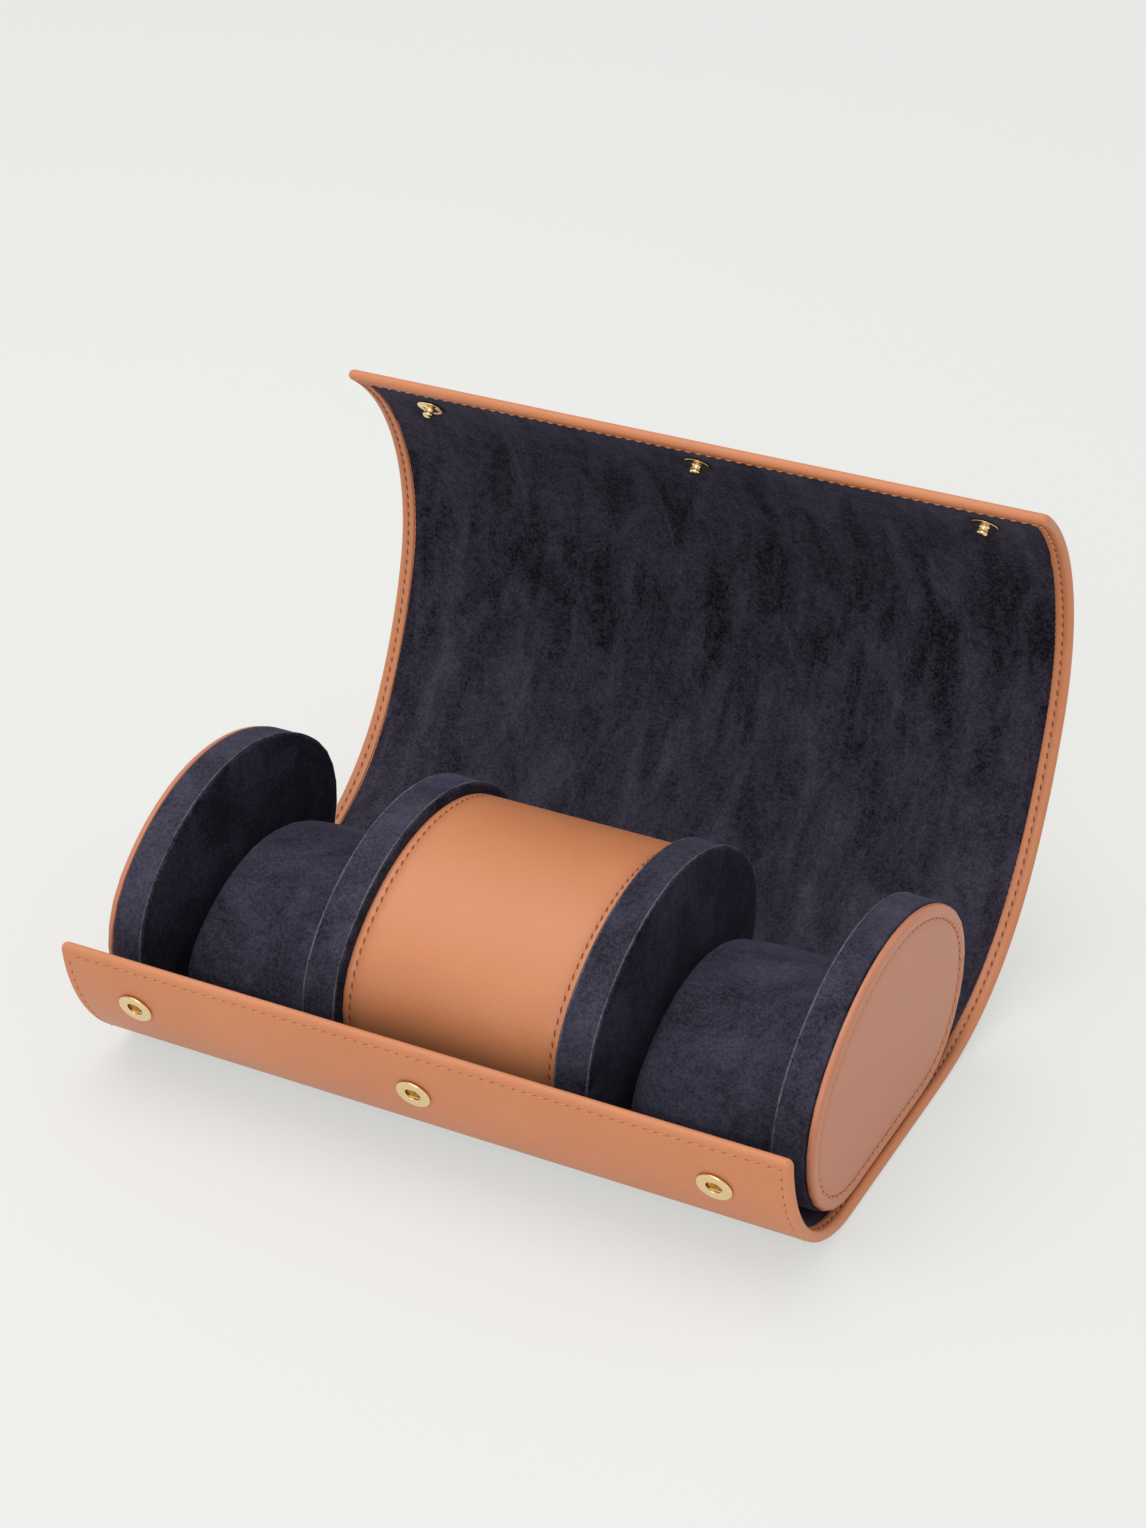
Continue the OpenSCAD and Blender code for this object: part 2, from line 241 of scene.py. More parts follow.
# %% Velvet nap
FIBRES, TUFTS, NAP_DEPTH = 1300.0, 420.0, 0.0004
STROKE_WEIGHT, TUFT_WEIGHT, FIBRE_WEIGHT = 0.38, 0.20, 0.42


def nap_group():
    g, given, put_out = node_group(
        "velvet_nap", [("Vector", "NodeSocketVector", None), ("Strokes", "NodeSocketVector", None),
                       ("Stroke Size", "NodeSocketFloat", 55.0)],
        [("Shade", "NodeSocketFloat"), ("Normal", "NodeSocketVector")])
    fibre = soft_noise(g, given[0], Scale=FIBRES, Detail=3.0, Roughness=0.7)
    tuft = soft_noise(g, given[0], Scale=TUFTS, Detail=3.0, Roughness=0.6, Distortion=0.6)
    stroke = add(g, "ShaderNodeTexNoise", {"Vector": given[1], "Scale": given[2]}, Detail=4.0, Roughness=0.6,
                 Distortion=0.8).outputs[0]
    strokes = ramp(g, stroke, From_Min=0.36, From_Max=0.66)
    tufts = ramp(g, tuft, From_Min=0.3, From_Max=0.7)
    fibres = ramp(g, fibre, From_Min=0.36, From_Max=0.66)
    shade = maths(g, "MULTIPLY", strokes, STROKE_WEIGHT)
    shade = maths(g, "MULTIPLY_ADD", tufts, TUFT_WEIGHT, shade)
    shade = maths(g, "MULTIPLY_ADD", fibres, FIBRE_WEIGHT, shade)
    height = maths(g, "ADD", fibre, tuft)
    bump = add(g, "ShaderNodeBump", {"Height": height}, Strength=0.5, Distance=NAP_DEPTH)
    g.links.new(shade, put_out[0])
    g.links.new(bump.outputs[0], put_out[1])
    return g


NAP = nap_group()
print("group", NAP.name)

# %% [markdown]
# Colours are noted as a colour picker shows them, from 0 to 255, and turned into the linear values that
# shaders use. A small function starts each material with its Principled shader.

# %% Colours and material starter
def linear(r, g, b):
    """Linear values of a picker's colour, with full opacity."""
    shares = [v / 255 for v in (r, g, b)]
    return tuple(v / 12.92 if v <= 0.04045 else ((v + 0.055) / 1.055) ** 2.4 for v in shares) + (1.0,)


def start_material(name, roughness, **sockets):
    material = bpy.data.materials.new(name)
    material.use_nodes = True
    tree = material.node_tree
    shader = tree.nodes["Principled BSDF"]
    shader.inputs["Roughness"].default_value = roughness
    for label, value in sockets.items():
        shader.inputs[label.replace("_", " ")].default_value = value
    place = tree.nodes.new("ShaderNodeTexCoord").outputs["Object"]
    return material, tree, shader, place


def use_group(tree, group, links, **values):
    n = tree.nodes.new("ShaderNodeGroup")
    n.node_tree = group
    for label, source in links.items():
        tree.links.new(source, n.inputs[label])
    for label, value in values.items():
        n.inputs[label.replace("_", " ")].default_value = value
    return n


def blend_colours(tree, factor, low, high):
    """The colour low where the factor is 0 and high where it is 1."""
    mix = add(tree, "ShaderNodeMix", {0: factor}, data_type="RGBA")
    mix.inputs[6].default_value = low
    mix.inputs[7].default_value = high
    return mix.outputs[2]


# %% [markdown]
# The leather is smooth and semi-matt with a tiny grain. Its colour drifts a little, as vegetable-tanned
# hides do, the creases of the grain get a little painted shade, and its gloss follows the clouds. The cap
# faces are a smoother, glossier leather; their duller, pinker base colour is painted reflection of the pale
# room, on top of the shader's own reflection.

# %% Leathers
def leather(name, light, dark, roughness, strength):
    material, tree, shader, place = start_material(name, roughness)
    cloud = use_group(tree, CLOUDS, {"Vector": place}, Scale=28.0)
    grain = use_group(tree, GRAIN, {"Vector": place}, Strength=strength)
    tone = blend_colours(tree, cloud.outputs[0], linear(*dark), linear(*light))
    # Painted shade: the grain's creases are darkened by up to 7 percent.
    painted_crease_shade = ramp(tree, grain.outputs[1], To_Min=1.0, To_Max=0.93)
    shaded = add(tree, "ShaderNodeMix", {6: tone, 7: painted_crease_shade}, data_type="RGBA", blend_type="MULTIPLY",
                 in_0=1.0)
    rough = ramp(tree, cloud.outputs[0], To_Min=roughness - 0.05, To_Max=roughness + 0.06)
    tree.links.new(shaded.outputs[2], shader.inputs["Base Color"])
    tree.links.new(rough, shader.inputs["Roughness"])
    tree.links.new(grain.outputs[0], shader.inputs["Normal"])
    return material


tan = leather("tan_leather", (209, 136, 92), (193, 118, 76), 0.46, 0.22)
# Smoother, glossier leather for the cap faces; its duller, pinker colour is painted reflection of the pale
# room.
face_tan = leather("face_leather", (196, 128, 96), (184, 114, 82), 0.40, 0.18)
print("leathers", tan.name, face_tan.name)

# %% [markdown]
# Velvet is dark where its pile stands up and pale where it lies over, and its edges catch the light. A
# constant sheen on the shader gives the pale edges, and the nap group gives the brushed patches. The lining
# takes its strokes from its UV map, so that they follow the cloth, and has painted light near the lid's foot
# and painted shade further up the lid. The discs and cushions get painted shade on their flat sides instead,
# where the pile is seen end on.

# %% Velvets
SHEEN_TINT = linear(150, 150, 185)


def velvet_material(name, dark, light, stroke_size, stretch=None):
    """Velvet; with a stretch it is the lining, whose strokes are stretched along its UV map."""
    material, tree, shader, place = start_material(name, 0.95, Sheen_Weight=0.22, Sheen_Roughness=0.42,
                                                   Specular_IOR_Level=0.08, Sheen_Tint=SHEEN_TINT)
    if stretch:
        flat_place = tree.nodes.new("ShaderNodeUVMap").outputs[0]
        strokes = add(tree, "ShaderNodeMapping", {"Vector": flat_place}, Scale=stretch).outputs[0]
        along = add(tree, "ShaderNodeSeparateXYZ", {0: flat_place}).outputs[1]
        # Painted light near the lid's foot, painted shade further up the lid.
        painted_shading = ramp(tree, along, From_Min=0.05, From_Max=0.15, To_Min=0.13, To_Max=-0.17)
    else:
        strokes = place
        normal = tree.nodes.new("ShaderNodeTexCoord").outputs["Normal"]
        sideways = maths(tree, "ABSOLUTE", add(tree, "ShaderNodeSeparateXYZ", {0: normal}).outputs[0])
        # Painted shade on the flat sides, where the pile is seen end on.
        painted_shading = ramp(tree, sideways, From_Min=0.5, From_Max=0.95, To_Min=0.0, To_Max=-0.34)
    nap = use_group(tree, NAP, {"Vector": place, "Strokes": strokes}, Stroke_Size=stroke_size)
    shade = maths(tree, "ADD", nap.outputs[0], painted_shading, use_clamp=True)
    tree.links.new(blend_colours(tree, shade, linear(*dark), linear(*light)), shader.inputs["Base Color"])
    tree.links.new(nap.outputs[1], shader.inputs["Normal"])
    return material


navy = velvet_material("navy_lining", (10, 8, 13), (77, 72, 88), 60.0, (1.7, 0.6, 1))
velvet = velvet_material("velvet", (12, 10, 17), (76, 73, 90), 45.0)
# A paler copy of the velvet for the raised edges: a painted highlight.
velvet_edge = velvet_material("velvet_edge", (34, 33, 41), (112, 110, 120), 60.0)
print("velvets", navy.name, velvet.name, velvet_edge.name)

# %% [markdown]
# The snaps are plated pale gold: polished metal with faint wear. Thread, needle holes, board, foam and the
# hidden metal backs have plainer finishes, but each still carries its own small variation.

# %% Metal, thread and hidden materials
def metal(name, light, dark, roughness):
    material, tree, shader, place = start_material(name, roughness, Metallic=1.0)
    cloud = use_group(tree, CLOUDS, {"Vector": place}, Scale=900.0).outputs[0]
    tree.links.new(blend_colours(tree, cloud, linear(*dark), linear(*light)), shader.inputs["Base Color"])
    rough = ramp(tree, cloud, To_Min=roughness * 0.8, To_Max=roughness * 1.3)
    tree.links.new(rough, shader.inputs["Roughness"])
    return material


def matte(name, light, dark, scale, bump_height=0.0002, roughness=0.8):
    material, tree, shader, place = start_material(name, roughness)
    cloud = use_group(tree, CLOUDS, {"Vector": place}, Scale=scale).outputs[0]
    tree.links.new(blend_colours(tree, cloud, linear(*dark), linear(*light)), shader.inputs["Base Color"])
    bump = add(tree, "ShaderNodeBump", {"Height": cloud}, Strength=0.5, Distance=bump_height)
    tree.links.new(bump.outputs[0], shader.inputs["Normal"])
    return material


gold = metal("gold_plate", (244, 222, 176), (232, 200, 146), 0.16)
steel = metal("spring_steel", (196, 192, 186), (170, 166, 160), 0.25)
nickel = metal("nickel_back", (190, 186, 178), (160, 157, 150), 0.35)
thread = matte("thread", (222, 152, 94), (200, 124, 72), 2500.0, 0.0001, 0.6)
# A darker copy of the thread: painted shade for stitches drawn in hard.
thread_deep = matte("thread_deep", (150, 82, 50), (112, 56, 32), 2500.0, 0.0001, 0.7)
# Painted shade: a needle hole's dark disc stands for the shade inside the hole.
hole_shade = matte("needle_hole", (92, 44, 24), (60, 28, 16), 900.0)
board = matte("stiffener_board", (166, 158, 146), (146, 138, 126), 600.0)
core = matte("core_board", (168, 158, 142), (148, 138, 122), 500.0)
foam = matte("core_foam", (222, 216, 204), (204, 198, 186), 900.0)
print("materials", len(bpy.data.materials))

# %% [markdown]
# The real cover is cut flat and then bent round the discs. It could be modelled bent from the start, but
# flat is easier, for the rims, the stitches and the lining alike. A point of the flat cover has a place x
# along the roll, a length s along the cover (0 in the middle of the base) and a depth d below the lining.
# The function takes it to its place on the bent cover: a flat base, then one arc after another. Each arc is
# a length and the angle in degrees through which it turns. The snaps' places are noted here too.

# %% From the flat cover to the bent one
BASE_HALF, FLOOR, WALL, HALF = 28.0, 3.0, 3.0, 105.0
LID = [(12, 4), (14, 9), (16.5, 14.5), (36.5, 30), (42.5, 18), (48, 41.5), (31, 30.5)]
LIP = [(30, 50), (32, 38)]
LID_END = BASE_HALF + sum(length for length, angle in LID)
LIP_END = -BASE_HALF - sum(length for length, angle in LIP)
SNAP_X, SOCKET_S, STUD_S = (-84.0, 0.0, 84.0), LIP_END + 15.0, LID_END - 15.0


def on_cover(x, s, d):
    """The place on the bent cover, in metres, of a point of the flat one in millimetres."""
    y, z, heading, rest = BASE_HALF, FLOOR, 0.0, abs(s) - BASE_HALF
    if rest <= 0:
        return Vector((x, s, FLOOR - d)) * mm
    for length, degrees in LID if s > 0 else LIP:
        radius = length / math.radians(degrees)
        angle = min(rest, length) / radius
        y += radius * (math.sin(heading + angle) - math.sin(heading))
        z += radius * (math.cos(heading) - math.cos(heading + angle))
        heading += angle
        rest -= length
        if rest <= 0:
            break
    if rest > 0:
        y, z = y + rest * math.cos(heading), z + rest * math.sin(heading)
    y, z = y + d * math.sin(heading), z - d * math.cos(heading)
    return Vector((x, y if s > 0 else -y, z)) * mm


print("cover from", LIP_END, "to", LID_END, "lid edge at", on_cover(0, LID_END, 0))

# %% [markdown]
# The cover crosses six folds. It is cut between the folds, where the real cover stays stiff. A part with no
# fold rides on one body; a part over a fold keeps its place in its mesh and follows no body. A part also
# knows which CAD nodes it stands for.

# %% Folds and the parts between them
FOLDS = {"lip_2": -58.0, "lip_1": -28.0, "lid_1": 40.0, "lid_2": 70.5, "lid_3": 107.0, "flap": 197.5}
BEND = 7.0
Part = namedtuple("Part", "name start end fold bodies nodes")
PARTS = [
    Part("lip_edge", LIP_END, -69.0, None, ("lip_upper",), ("lip_upper",)),
    Part("lip_bend", -69.0, -43.0, "lip_2", ("lip_lower", "lip_upper"), ("lip_lower",)),
    Part("lip_foot", -43.0, 0.0, "lip_1", ("base", "lip_lower"), ("base",)),
    Part("lid_foot", 0.0, 55.25, "lid_1", ("base", "lid_lower"), ("lid_1", "lid_2")),
    Part("lid_back", 55.25, 88.75, "lid_2", ("lid_lower", "lid_middle"), ("lid_3", "lid_4")),
    Part("lid_top", 88.75, 149.5, "lid_3", ("lid_middle", "lid_upper"), ("lid_5",)),
    Part("lid_front", 149.5, 208.0, "flap", ("lid_upper", "flap"), ("lid_6",)),
    Part("flap_edge", 208.0, LID_END, None, ("flap",), ("flap",)),
]


def attach(obj, part):
    """Let a piece of the cover follow its body; a piece over a fold keeps its place in its mesh."""
    if part.fold is None:
        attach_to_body(obj, part.bodies[0])
        return
    s = FOLDS[part.fold]
    reach = BEND if s > 0 else -BEND
    start, end = on_cover(0, s - reach, WALL / 2), on_cover(0, s + reach, WALL / 2)
    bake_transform(obj)


print("parts of the cover", len(PARTS))

# %% [markdown]
# The leather is turned over at its edges and glued down as a narrow hem. The flat leather is drawn ring by
# ring, like a picture frame: each ring is the outline of the cover, drawn in by an inset and set at a
# height. A bevel could round the edge, but rings also give the groove along the stitches and the hem's own
# cut edge. They run from the outer face, over the folded edge, to the inner face and the lining's ground.

# %% The flat leather
HEM, STITCH_IN, GROOVE, GROOVE_DEPTH, RECESS = 4.5, 2.6, 0.5, 0.25, 0.45
CORNER, SHARPEST, CORNER_STEPS, EDGE_STEPS = 2.0, 0.12, 6, 12
HEM_CUT = [(-0.3, 0.0), (-0.08, -0.07), (0.0, -0.22), (0.02, -RECESS)]


def arc(cx, cz, r, a0, a1, n):
    """Points of an arc round (cx, cz), from one angle in degrees to another, in n steps."""
    angles = [math.radians(a0 + (a1 - a0) * k / n) for k in range(n + 1)]
    return [(cx + r * math.cos(a), cz + r * math.sin(a)) for a in angles]


def rounded_outline(inset):
    """Points of the flat cover's outline, drawn in by an inset, with round corners."""
    r = max(CORNER - inset, SHARPEST)
    points = []
    for sx, sy, a0 in ((1, 1, 0), (-1, 1, 90), (-1, -1, 180), (1, -1, 270)):
        cx, cy = sx * (HALF - inset - r), (LID_END - inset - r) if sy > 0 else (LIP_END + inset + r)
        points += arc(cx, cy, r, a0, a0 + 90, CORNER_STEPS)
    return points


def leather_rings():
    """The (inset, height) of every ring, from the outer face round to the ground of the lining."""
    edge = WALL / 2
    outer = [(STITCH_IN + GROOVE, -WALL), (STITCH_IN, GROOVE_DEPTH - WALL), (STITCH_IN - GROOVE, -WALL)]
    folded = [(i, z - edge) for i, z in arc(edge, 0, edge, 270, 90, EDGE_STEPS)]
    inner = [(STITCH_IN - GROOVE, 0.0), (STITCH_IN, -GROOVE_DEPTH), (STITCH_IN + GROOVE, 0.0)]
    return outer + folded + inner + [(HEM + i, z) for i, z in HEM_CUT]


def face_outwards():
    """In edit mode, turn every face to the outside."""
    bpy.ops.mesh.select_all(action="SELECT")
    bpy.ops.mesh.normals_make_consistent(inside=False)


def flat_leather():
    rings = leather_rings()
    outline = rounded_outline(rings[0][0])
    bpy.ops.object.select_all(action="DESELECT")
    bpy.ops.mesh.primitive_circle_add(vertices=len(outline), radius=0.1, fill_type="NGON")
    obj = bpy.context.object
    for v, (x, y) in zip(obj.data.vertices, outline):
        v.co = (x * mm, y * mm, rings[0][1] * mm)
    edit(obj, "EDGE")
    mesh = bmesh.from_edit_mesh(obj.data)
    ring = list(mesh.verts)
    for inset, z in rings[1:]:
        new = [mesh.verts.new((x * mm, y * mm, z * mm)) for x, y in rounded_outline(inset)]
        for k in range(len(ring)):
            following = (k + 1) % len(ring)
            mesh.faces.new((ring[k], ring[following], new[following], new[k]))
        ring = new
    mesh.faces.new(ring)
    bmesh.update_edit_mesh(obj.data)
    face_outwards()
    return obj


leather_sheet = flat_leather()
print("flat leather", len(leather_sheet.data.polygons), "faces")

# %% [markdown]
# Rows of cuts across the flat leather let it bend. A very narrow row lies beside each place where the cover
# is parted, so that the shading runs on without a seam. Each part is then cut out and bent, vertex by
# vertex, because no bend modifier follows such a line of arcs.

# %% The cover's leather
ROW_STEP, ROW_CLEARANCE, BESIDE = 2.0, 0.7, 0.3
cuts = [p.start for p in PARTS[1:]]
narrow_rows = [s + k for s in cuts for k in (-BESIDE, BESIDE)]


def row_places():
    rows = np.arange(LIP_END + 1.5, LID_END - 1, ROW_STEP)
    return sorted([r for r in rows if min(abs(r - s) for s in cuts) > ROW_CLEARANCE] + narrow_rows)


def cut(place, across, **options):
    """In edit mode, cut the whole mesh by the plane through a place, given in metres."""
    bpy.ops.mesh.select_all(action="SELECT")
    bpy.ops.mesh.bisect(plane_co=place, plane_no=across, **options)


def score(obj, rows):
    edit(obj)
    for s in rows:
        cut((0, s * mm, 0), (0, 1, 0))
    bpy.ops.object.mode_set(mode="OBJECT")


def copy_of(obj):
    """A copy with a mesh of its own."""
    copy = obj.copy()
    copy.data = obj.data.copy()
    scene.collection.objects.link(copy)
    return copy


def cut_out(sheet, part, fill=True):
    """A copy of the part of the sheet, closed at its cuts."""
    copy = copy_of(sheet)
    edit(copy)
    for s, sign in ((part.start, -1), (part.end, 1)):
        if s not in (LIP_END, LID_END):
            cut((0, s * mm, 0), (0, sign, 0), use_fill=fill, clear_outer=True)
    bpy.ops.object.mode_set(mode="OBJECT")
    return copy


def bend(obj):
    """Take every vertex from the flat cover to the bent one."""
    for v in obj.data.vertices:
        v.co = on_cover(v.co.x / mm, v.co.y / mm, -v.co.z / mm)


score(leather_sheet, row_places())
for part in PARTS:
    piece = cut_out(leather_sheet, part)
    bend(piece)
    finish(piece, part.name + "_cover", tan, 50)
    attach(piece, part)
    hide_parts(*[n + "_leather" for n in part.nodes])
    print(piece.name, len(piece.data.polygons), "faces")
bpy.data.objects.remove(leather_sheet)

# %% [markdown]
# The lining is a thin sheet of velvet glued inside the hem. A flat face would look like card, so its height
# is worked out for every place: it swells gently, tucks down along its border, lies close under the studs,
# and shows a low ridge where the flap's stiffener ends.

# %% Height of the lining
TUCK, TUCK_WIDTH, BORDER_CALM, LINING_DROP = 0.38, 2.5, 3, 0.16
PRESS, PRESS_RADIUS = 0.12, 7
RIDGE_S, RIDGE, RIDGE_WIDTH = LID_END - 26.0, 0.30, 1.3
HOLLOW_S, HOLLOW, HOLLOW_WIDTH = RIDGE_S - 4, 0.12, 2.5


def swell(x, s):
    """Two sizes of gentle waves from noise; the last number of each picks its pattern."""
    broad = 0.16 * noise.noise(Vector((x / 26, s / 34, 3.1)))
    small = 0.06 * noise.noise(Vector((x / 8, s / 11, 8.4)))
    return broad + small


def lining_height(x, s):
    """Height over the leather's inner face, all in millimetres."""
    border = min(HALF - HEM - abs(x), s - (LIP_END + HEM), (LID_END - HEM) - s)
    tuck = TUCK * (1 - max(0.0, min(1.0, border / TUCK_WIDTH))) ** 2
    ridge = RIDGE * math.exp(-((s - RIDGE_S) / RIDGE_WIDTH) ** 2)
    ridge -= HOLLOW * math.exp(-((s - HOLLOW_S) / HOLLOW_WIDTH) ** 2)
    to_stud = min(math.hypot(x - k, s - STUD_S) for k in SNAP_X)
    press = math.exp(-(to_stud / PRESS_RADIUS) ** 4)
    free = (1 - math.exp(-max(0.0, border) / BORDER_CALM)) * (1 - press)
    return -LINING_DROP - tuck - PRESS * press + (swell(x, s) + ridge) * free


print("lining in the middle of the lid", round(lining_height(0, 110), 2), "mm")

# %% [markdown]
# The lining starts as a grid, is parted like the leather and gets its thickness from Solidify. Its UV map
# keeps the flat coordinates in metres, so that the brushed strokes of the nap follow the cloth.

# %% The lining
LAP, CLOTH = 0.6, 0.5
LINING_WIDTH = 2 * (HALF - HEM + LAP)
LINING_LENGTH = (LID_END - HEM + LAP) - (LIP_END + HEM - LAP)


def flat_lining():
    bpy.ops.object.select_all(action="DESELECT")
    bpy.ops.mesh.primitive_grid_add(x_subdivisions=60, y_subdivisions=150, size=1,
                                    location=(0, (LID_END + LIP_END) / 2 * mm, 0))
    obj = bpy.context.object
    obj.scale = (LINING_WIDTH * mm, LINING_LENGTH * mm, 1)
    settle()
    score(obj, narrow_rows)
    for v in obj.data.vertices:
        v.co.z = lining_height(v.co.x / mm, v.co.y / mm) * mm
    return obj


def flat_uv(obj):
    for loop in obj.data.loops:
        co = obj.data.vertices[loop.vertex_index].co
        obj.data.uv_layers[0].data[loop.index].uv = (co.x, co.y)


def apply(obj, modifier):
    only(obj)
    bpy.ops.object.modifier_apply(modifier=modifier.name)


lining_sheet = flat_lining()
for part in PARTS:
    piece = cut_out(lining_sheet, part, fill=False)
    flat_uv(piece)
    bend(piece)
    thick = piece.modifiers.new("cloth", "SOLIDIFY")
    thick.thickness, thick.offset = CLOTH * mm, -1
    apply(piece, thick)
    finish(piece, part.name + "_lining", navy, 60)
    attach(piece, part)
    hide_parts(*[n + "_lining" for n in part.nodes])
bpy.data.objects.remove(lining_sheet)

# %% [markdown]
# One stitch is a small bead of thread whose ends dip into the leather. A thread run through the leather
# would be truer, but only the beads show, and there are hundreds of them. So one sphere is stretched, and
# its ends are bent down. The needle hole at the end of a stitch is a small dark disc: painted shade where
# the hole would be.

# %% One stitch and one needle hole
PITCH, THREAD_RADIUS, STRETCH, DIP, HALF_STITCH = 3.0, 0.27, 4.2, 0.30, 1.13
HOLE_LENGTH, HOLE_WIDTH = 0.34, 0.26


def one_stitch():
    bpy.ops.object.select_all(action="DESELECT")
    bpy.ops.mesh.primitive_uv_sphere_add(segments=6, ring_count=6, radius=THREAD_RADIUS * mm,
                                         rotation=(0, math.pi / 2, 0))
    obj = bpy.context.object
    settle()
    obj.scale = (STRETCH, 1, 1)
    settle()
    for v in obj.data.vertices:
        v.co.z -= DIP * mm * (v.co.x / (HALF_STITCH * mm)) ** 2
    verts = np.array([v.co for v in obj.data.vertices]) / mm
    faces = [tuple(p.vertices) for p in obj.data.polygons]
    bpy.data.objects.remove(obj)
    return verts, faces


STITCH, STITCH_FACES = one_stitch()
HOLE = [(0.0, 0.0)]
HOLE += [(HOLE_LENGTH * math.cos(k * math.pi / 3), HOLE_WIDTH * math.sin(k * math.pi / 3)) for k in range(6)]
HOLE_FACES = [(0, 1 + k, 1 + (k + 1) % 6) for k in range(6)]
print("stitch faces", len(STITCH_FACES))

# %% [markdown]
# The stitch and its hole are copied along a seam, 3 mm apart and turned a little, as hand-sewn stitches lie.
# A place on a seam is its centre, the direction along the seam and the normal out of the leather.
# Stitches drawn in hard slant more and hide their holes, and their darker thread is painted shade.

# %% A row of stitches
SLANT, DEEP_SLANT = math.radians(9), math.radians(16)
STITCH_LIFT, HOLE_LIFT = 0.13, 0.035


def from_copies(name, verts, faces, material):
    mesh = bpy.data.meshes.new(name)
    mesh.from_pydata([tuple(v) for v in verts], [], faces)
    obj = bpy.data.objects.new(name, mesh)
    scene.collection.objects.link(obj)
    return finish(obj, name, material, 60)


def stitch_run(places, slant):
    """Vertices and faces of the stitches, then of the holes."""
    verts, faces, dots, dot_faces = [], [], [], []
    for centre, along, normal in places:
        centre, along, normal = Vector(centre), Vector(along).normalized(), Vector(normal).normalized()
        across = normal.cross(along)
        t = math.cos(slant) * along + math.sin(slant) * across
        u = normal.cross(t)
        faces += [tuple(i + len(verts) for i in f) for f in STITCH_FACES]
        verts += [centre + (t * v[0] + u * v[1] + normal * (v[2] + STITCH_LIFT)) * mm for v in STITCH]
        dot_faces += [tuple(i + len(dots) for i in f) for f in HOLE_FACES]
        dots += [centre + (along * (a + PITCH / 2) + across * b + normal * HOLE_LIFT) * mm for a, b in HOLE]
    return verts, faces, dots, dot_faces


def sew(name, places, sunk_and_shaded=False):
    verts, faces, dots, dot_faces = stitch_run(places, DEEP_SLANT if sunk_and_shaded else SLANT)
    # Stitches drawn in hard get the darker thread, painted shade, and no needle holes.
    sewn = [from_copies(name + "_stitches", verts, faces, thread_deep if sunk_and_shaded else thread)]
    if not sunk_and_shaded:
        sewn.append(from_copies(name + "_needle_holes", dots, dot_faces, hole_shade))
    return sewn


# %% [markdown]
# One seam runs round the whole cover, 2.6 mm in from its edge, and shows on both sides. Each stitch is set
# out on the flat cover, and its centre and directions are taken from the bent one. Inside, the thread is
# drawn in hard and darkened with painted shade, except on the flap, where it stands a little proud and shows
# from the front.

# %% Seam round the cover
SUNK, FLAP_PROUD = 0.23, 0.1


def cover_seam():
    """Each stitch as (x, s) and its direction on the flat cover."""
    x_end, s_lo, s_hi = HALF - STITCH_IN, LIP_END + STITCH_IN, LID_END - STITCH_IN
    across = int(round(2 * x_end / PITCH))
    along = int(round((s_hi - s_lo) / PITCH))
    flat_places = []
    for k in range(across):
        x = -x_end + (k + 0.5) * 2 * x_end / across
        flat_places += [(x, s_lo, 1, 0), (x, s_hi, 1, 0)]
    for k in range(along):
        s = s_lo + (k + 0.5) * (s_hi - s_lo) / along
        flat_places += [(-x_end, s, 0, 1), (x_end, s, 0, 1)]
    return flat_places


def seam_places(part, depth, out):
    """The part's stitches at a depth; out is 1 towards the outer face and -1 towards the lining."""
    found = []
    for x, s, dx, ds in cover_seam():
        if part.start <= s < part.end:
            centre = on_cover(x, s, depth)
            along = on_cover(x + dx, s + ds, depth) - on_cover(x - dx, s - ds, depth)
            found.append((centre, along, on_cover(x, s, depth + out) - centre))
    return found


for part in PARTS:
    on_flap = part.name == "flap_edge"
    inner_depth = -FLAP_PROUD if on_flap else SUNK
    sewn = sew(part.name + "_outer", seam_places(part, WALL - SUNK, 1))
    sewn += sew(part.name + "_inner", seam_places(part, inner_depth, -1), sunk_and_shaded=not on_flap)
    for o in sewn:
        attach(o, part)
print("stitches on the cover", 2 * len(cover_seam()))

# %% [markdown]
# All discs share one outline: a flat foot, rounded lower corners and a domed top. It is set out as points
# (y, z) from the foot's back end, round the back corner and over the dome to the front corner, and along
# the foot again. The same outline, drawn in, serves the band and the cap faces.

# %% The domed outline
DISC_WIDTH, DISC_HEIGHT, DISC_CORNER = 102.0, 65.5, 28.0
CORNER_PARTS, DOME_PARTS, FOOT_PARTS = 10, 44, 8


def dome_points(inset):
    cx = DISC_WIDTH / 2 - DISC_CORNER
    rise = DISC_HEIGHT - DISC_CORNER
    dome_z = (rise ** 2 - cx ** 2 - DISC_CORNER ** 2) / (2 * (DISC_HEIGHT - 2 * DISC_CORNER))
    corner, dome = DISC_CORNER - inset, DISC_HEIGHT - dome_z - inset
    lean = math.atan2(DISC_CORNER - dome_z, cx)
    points = []
    for k in range(CORNER_PARTS + 1):
        a = -math.pi / 2 + (lean + math.pi / 2) * k / CORNER_PARTS
        points.append((cx + corner * math.cos(a), DISC_CORNER + corner * math.sin(a)))
    for k in range(1, DOME_PARTS):
        a = lean + (math.pi - 2 * lean) * k / DOME_PARTS
        points.append((dome * math.cos(a), dome_z + dome * math.sin(a)))
    points += [(-y, z) for y, z in reversed(points[:CORNER_PARTS + 1])]
    points += [(-cx + 2 * cx * k / FOOT_PARTS, inset) for k in range(1, FOOT_PARTS)]
    return points


print("outline points", len(dome_points(0.0)))

# %% [markdown]
# A disc, a cap's face and the band are all plates with that outline. A cylinder would have the wrong rim,
# so a circle is pulled onto the points and extruded along the roll. Its rims are bevelled afterwards: the
# edges are picked by their place, where a side meets the rim.

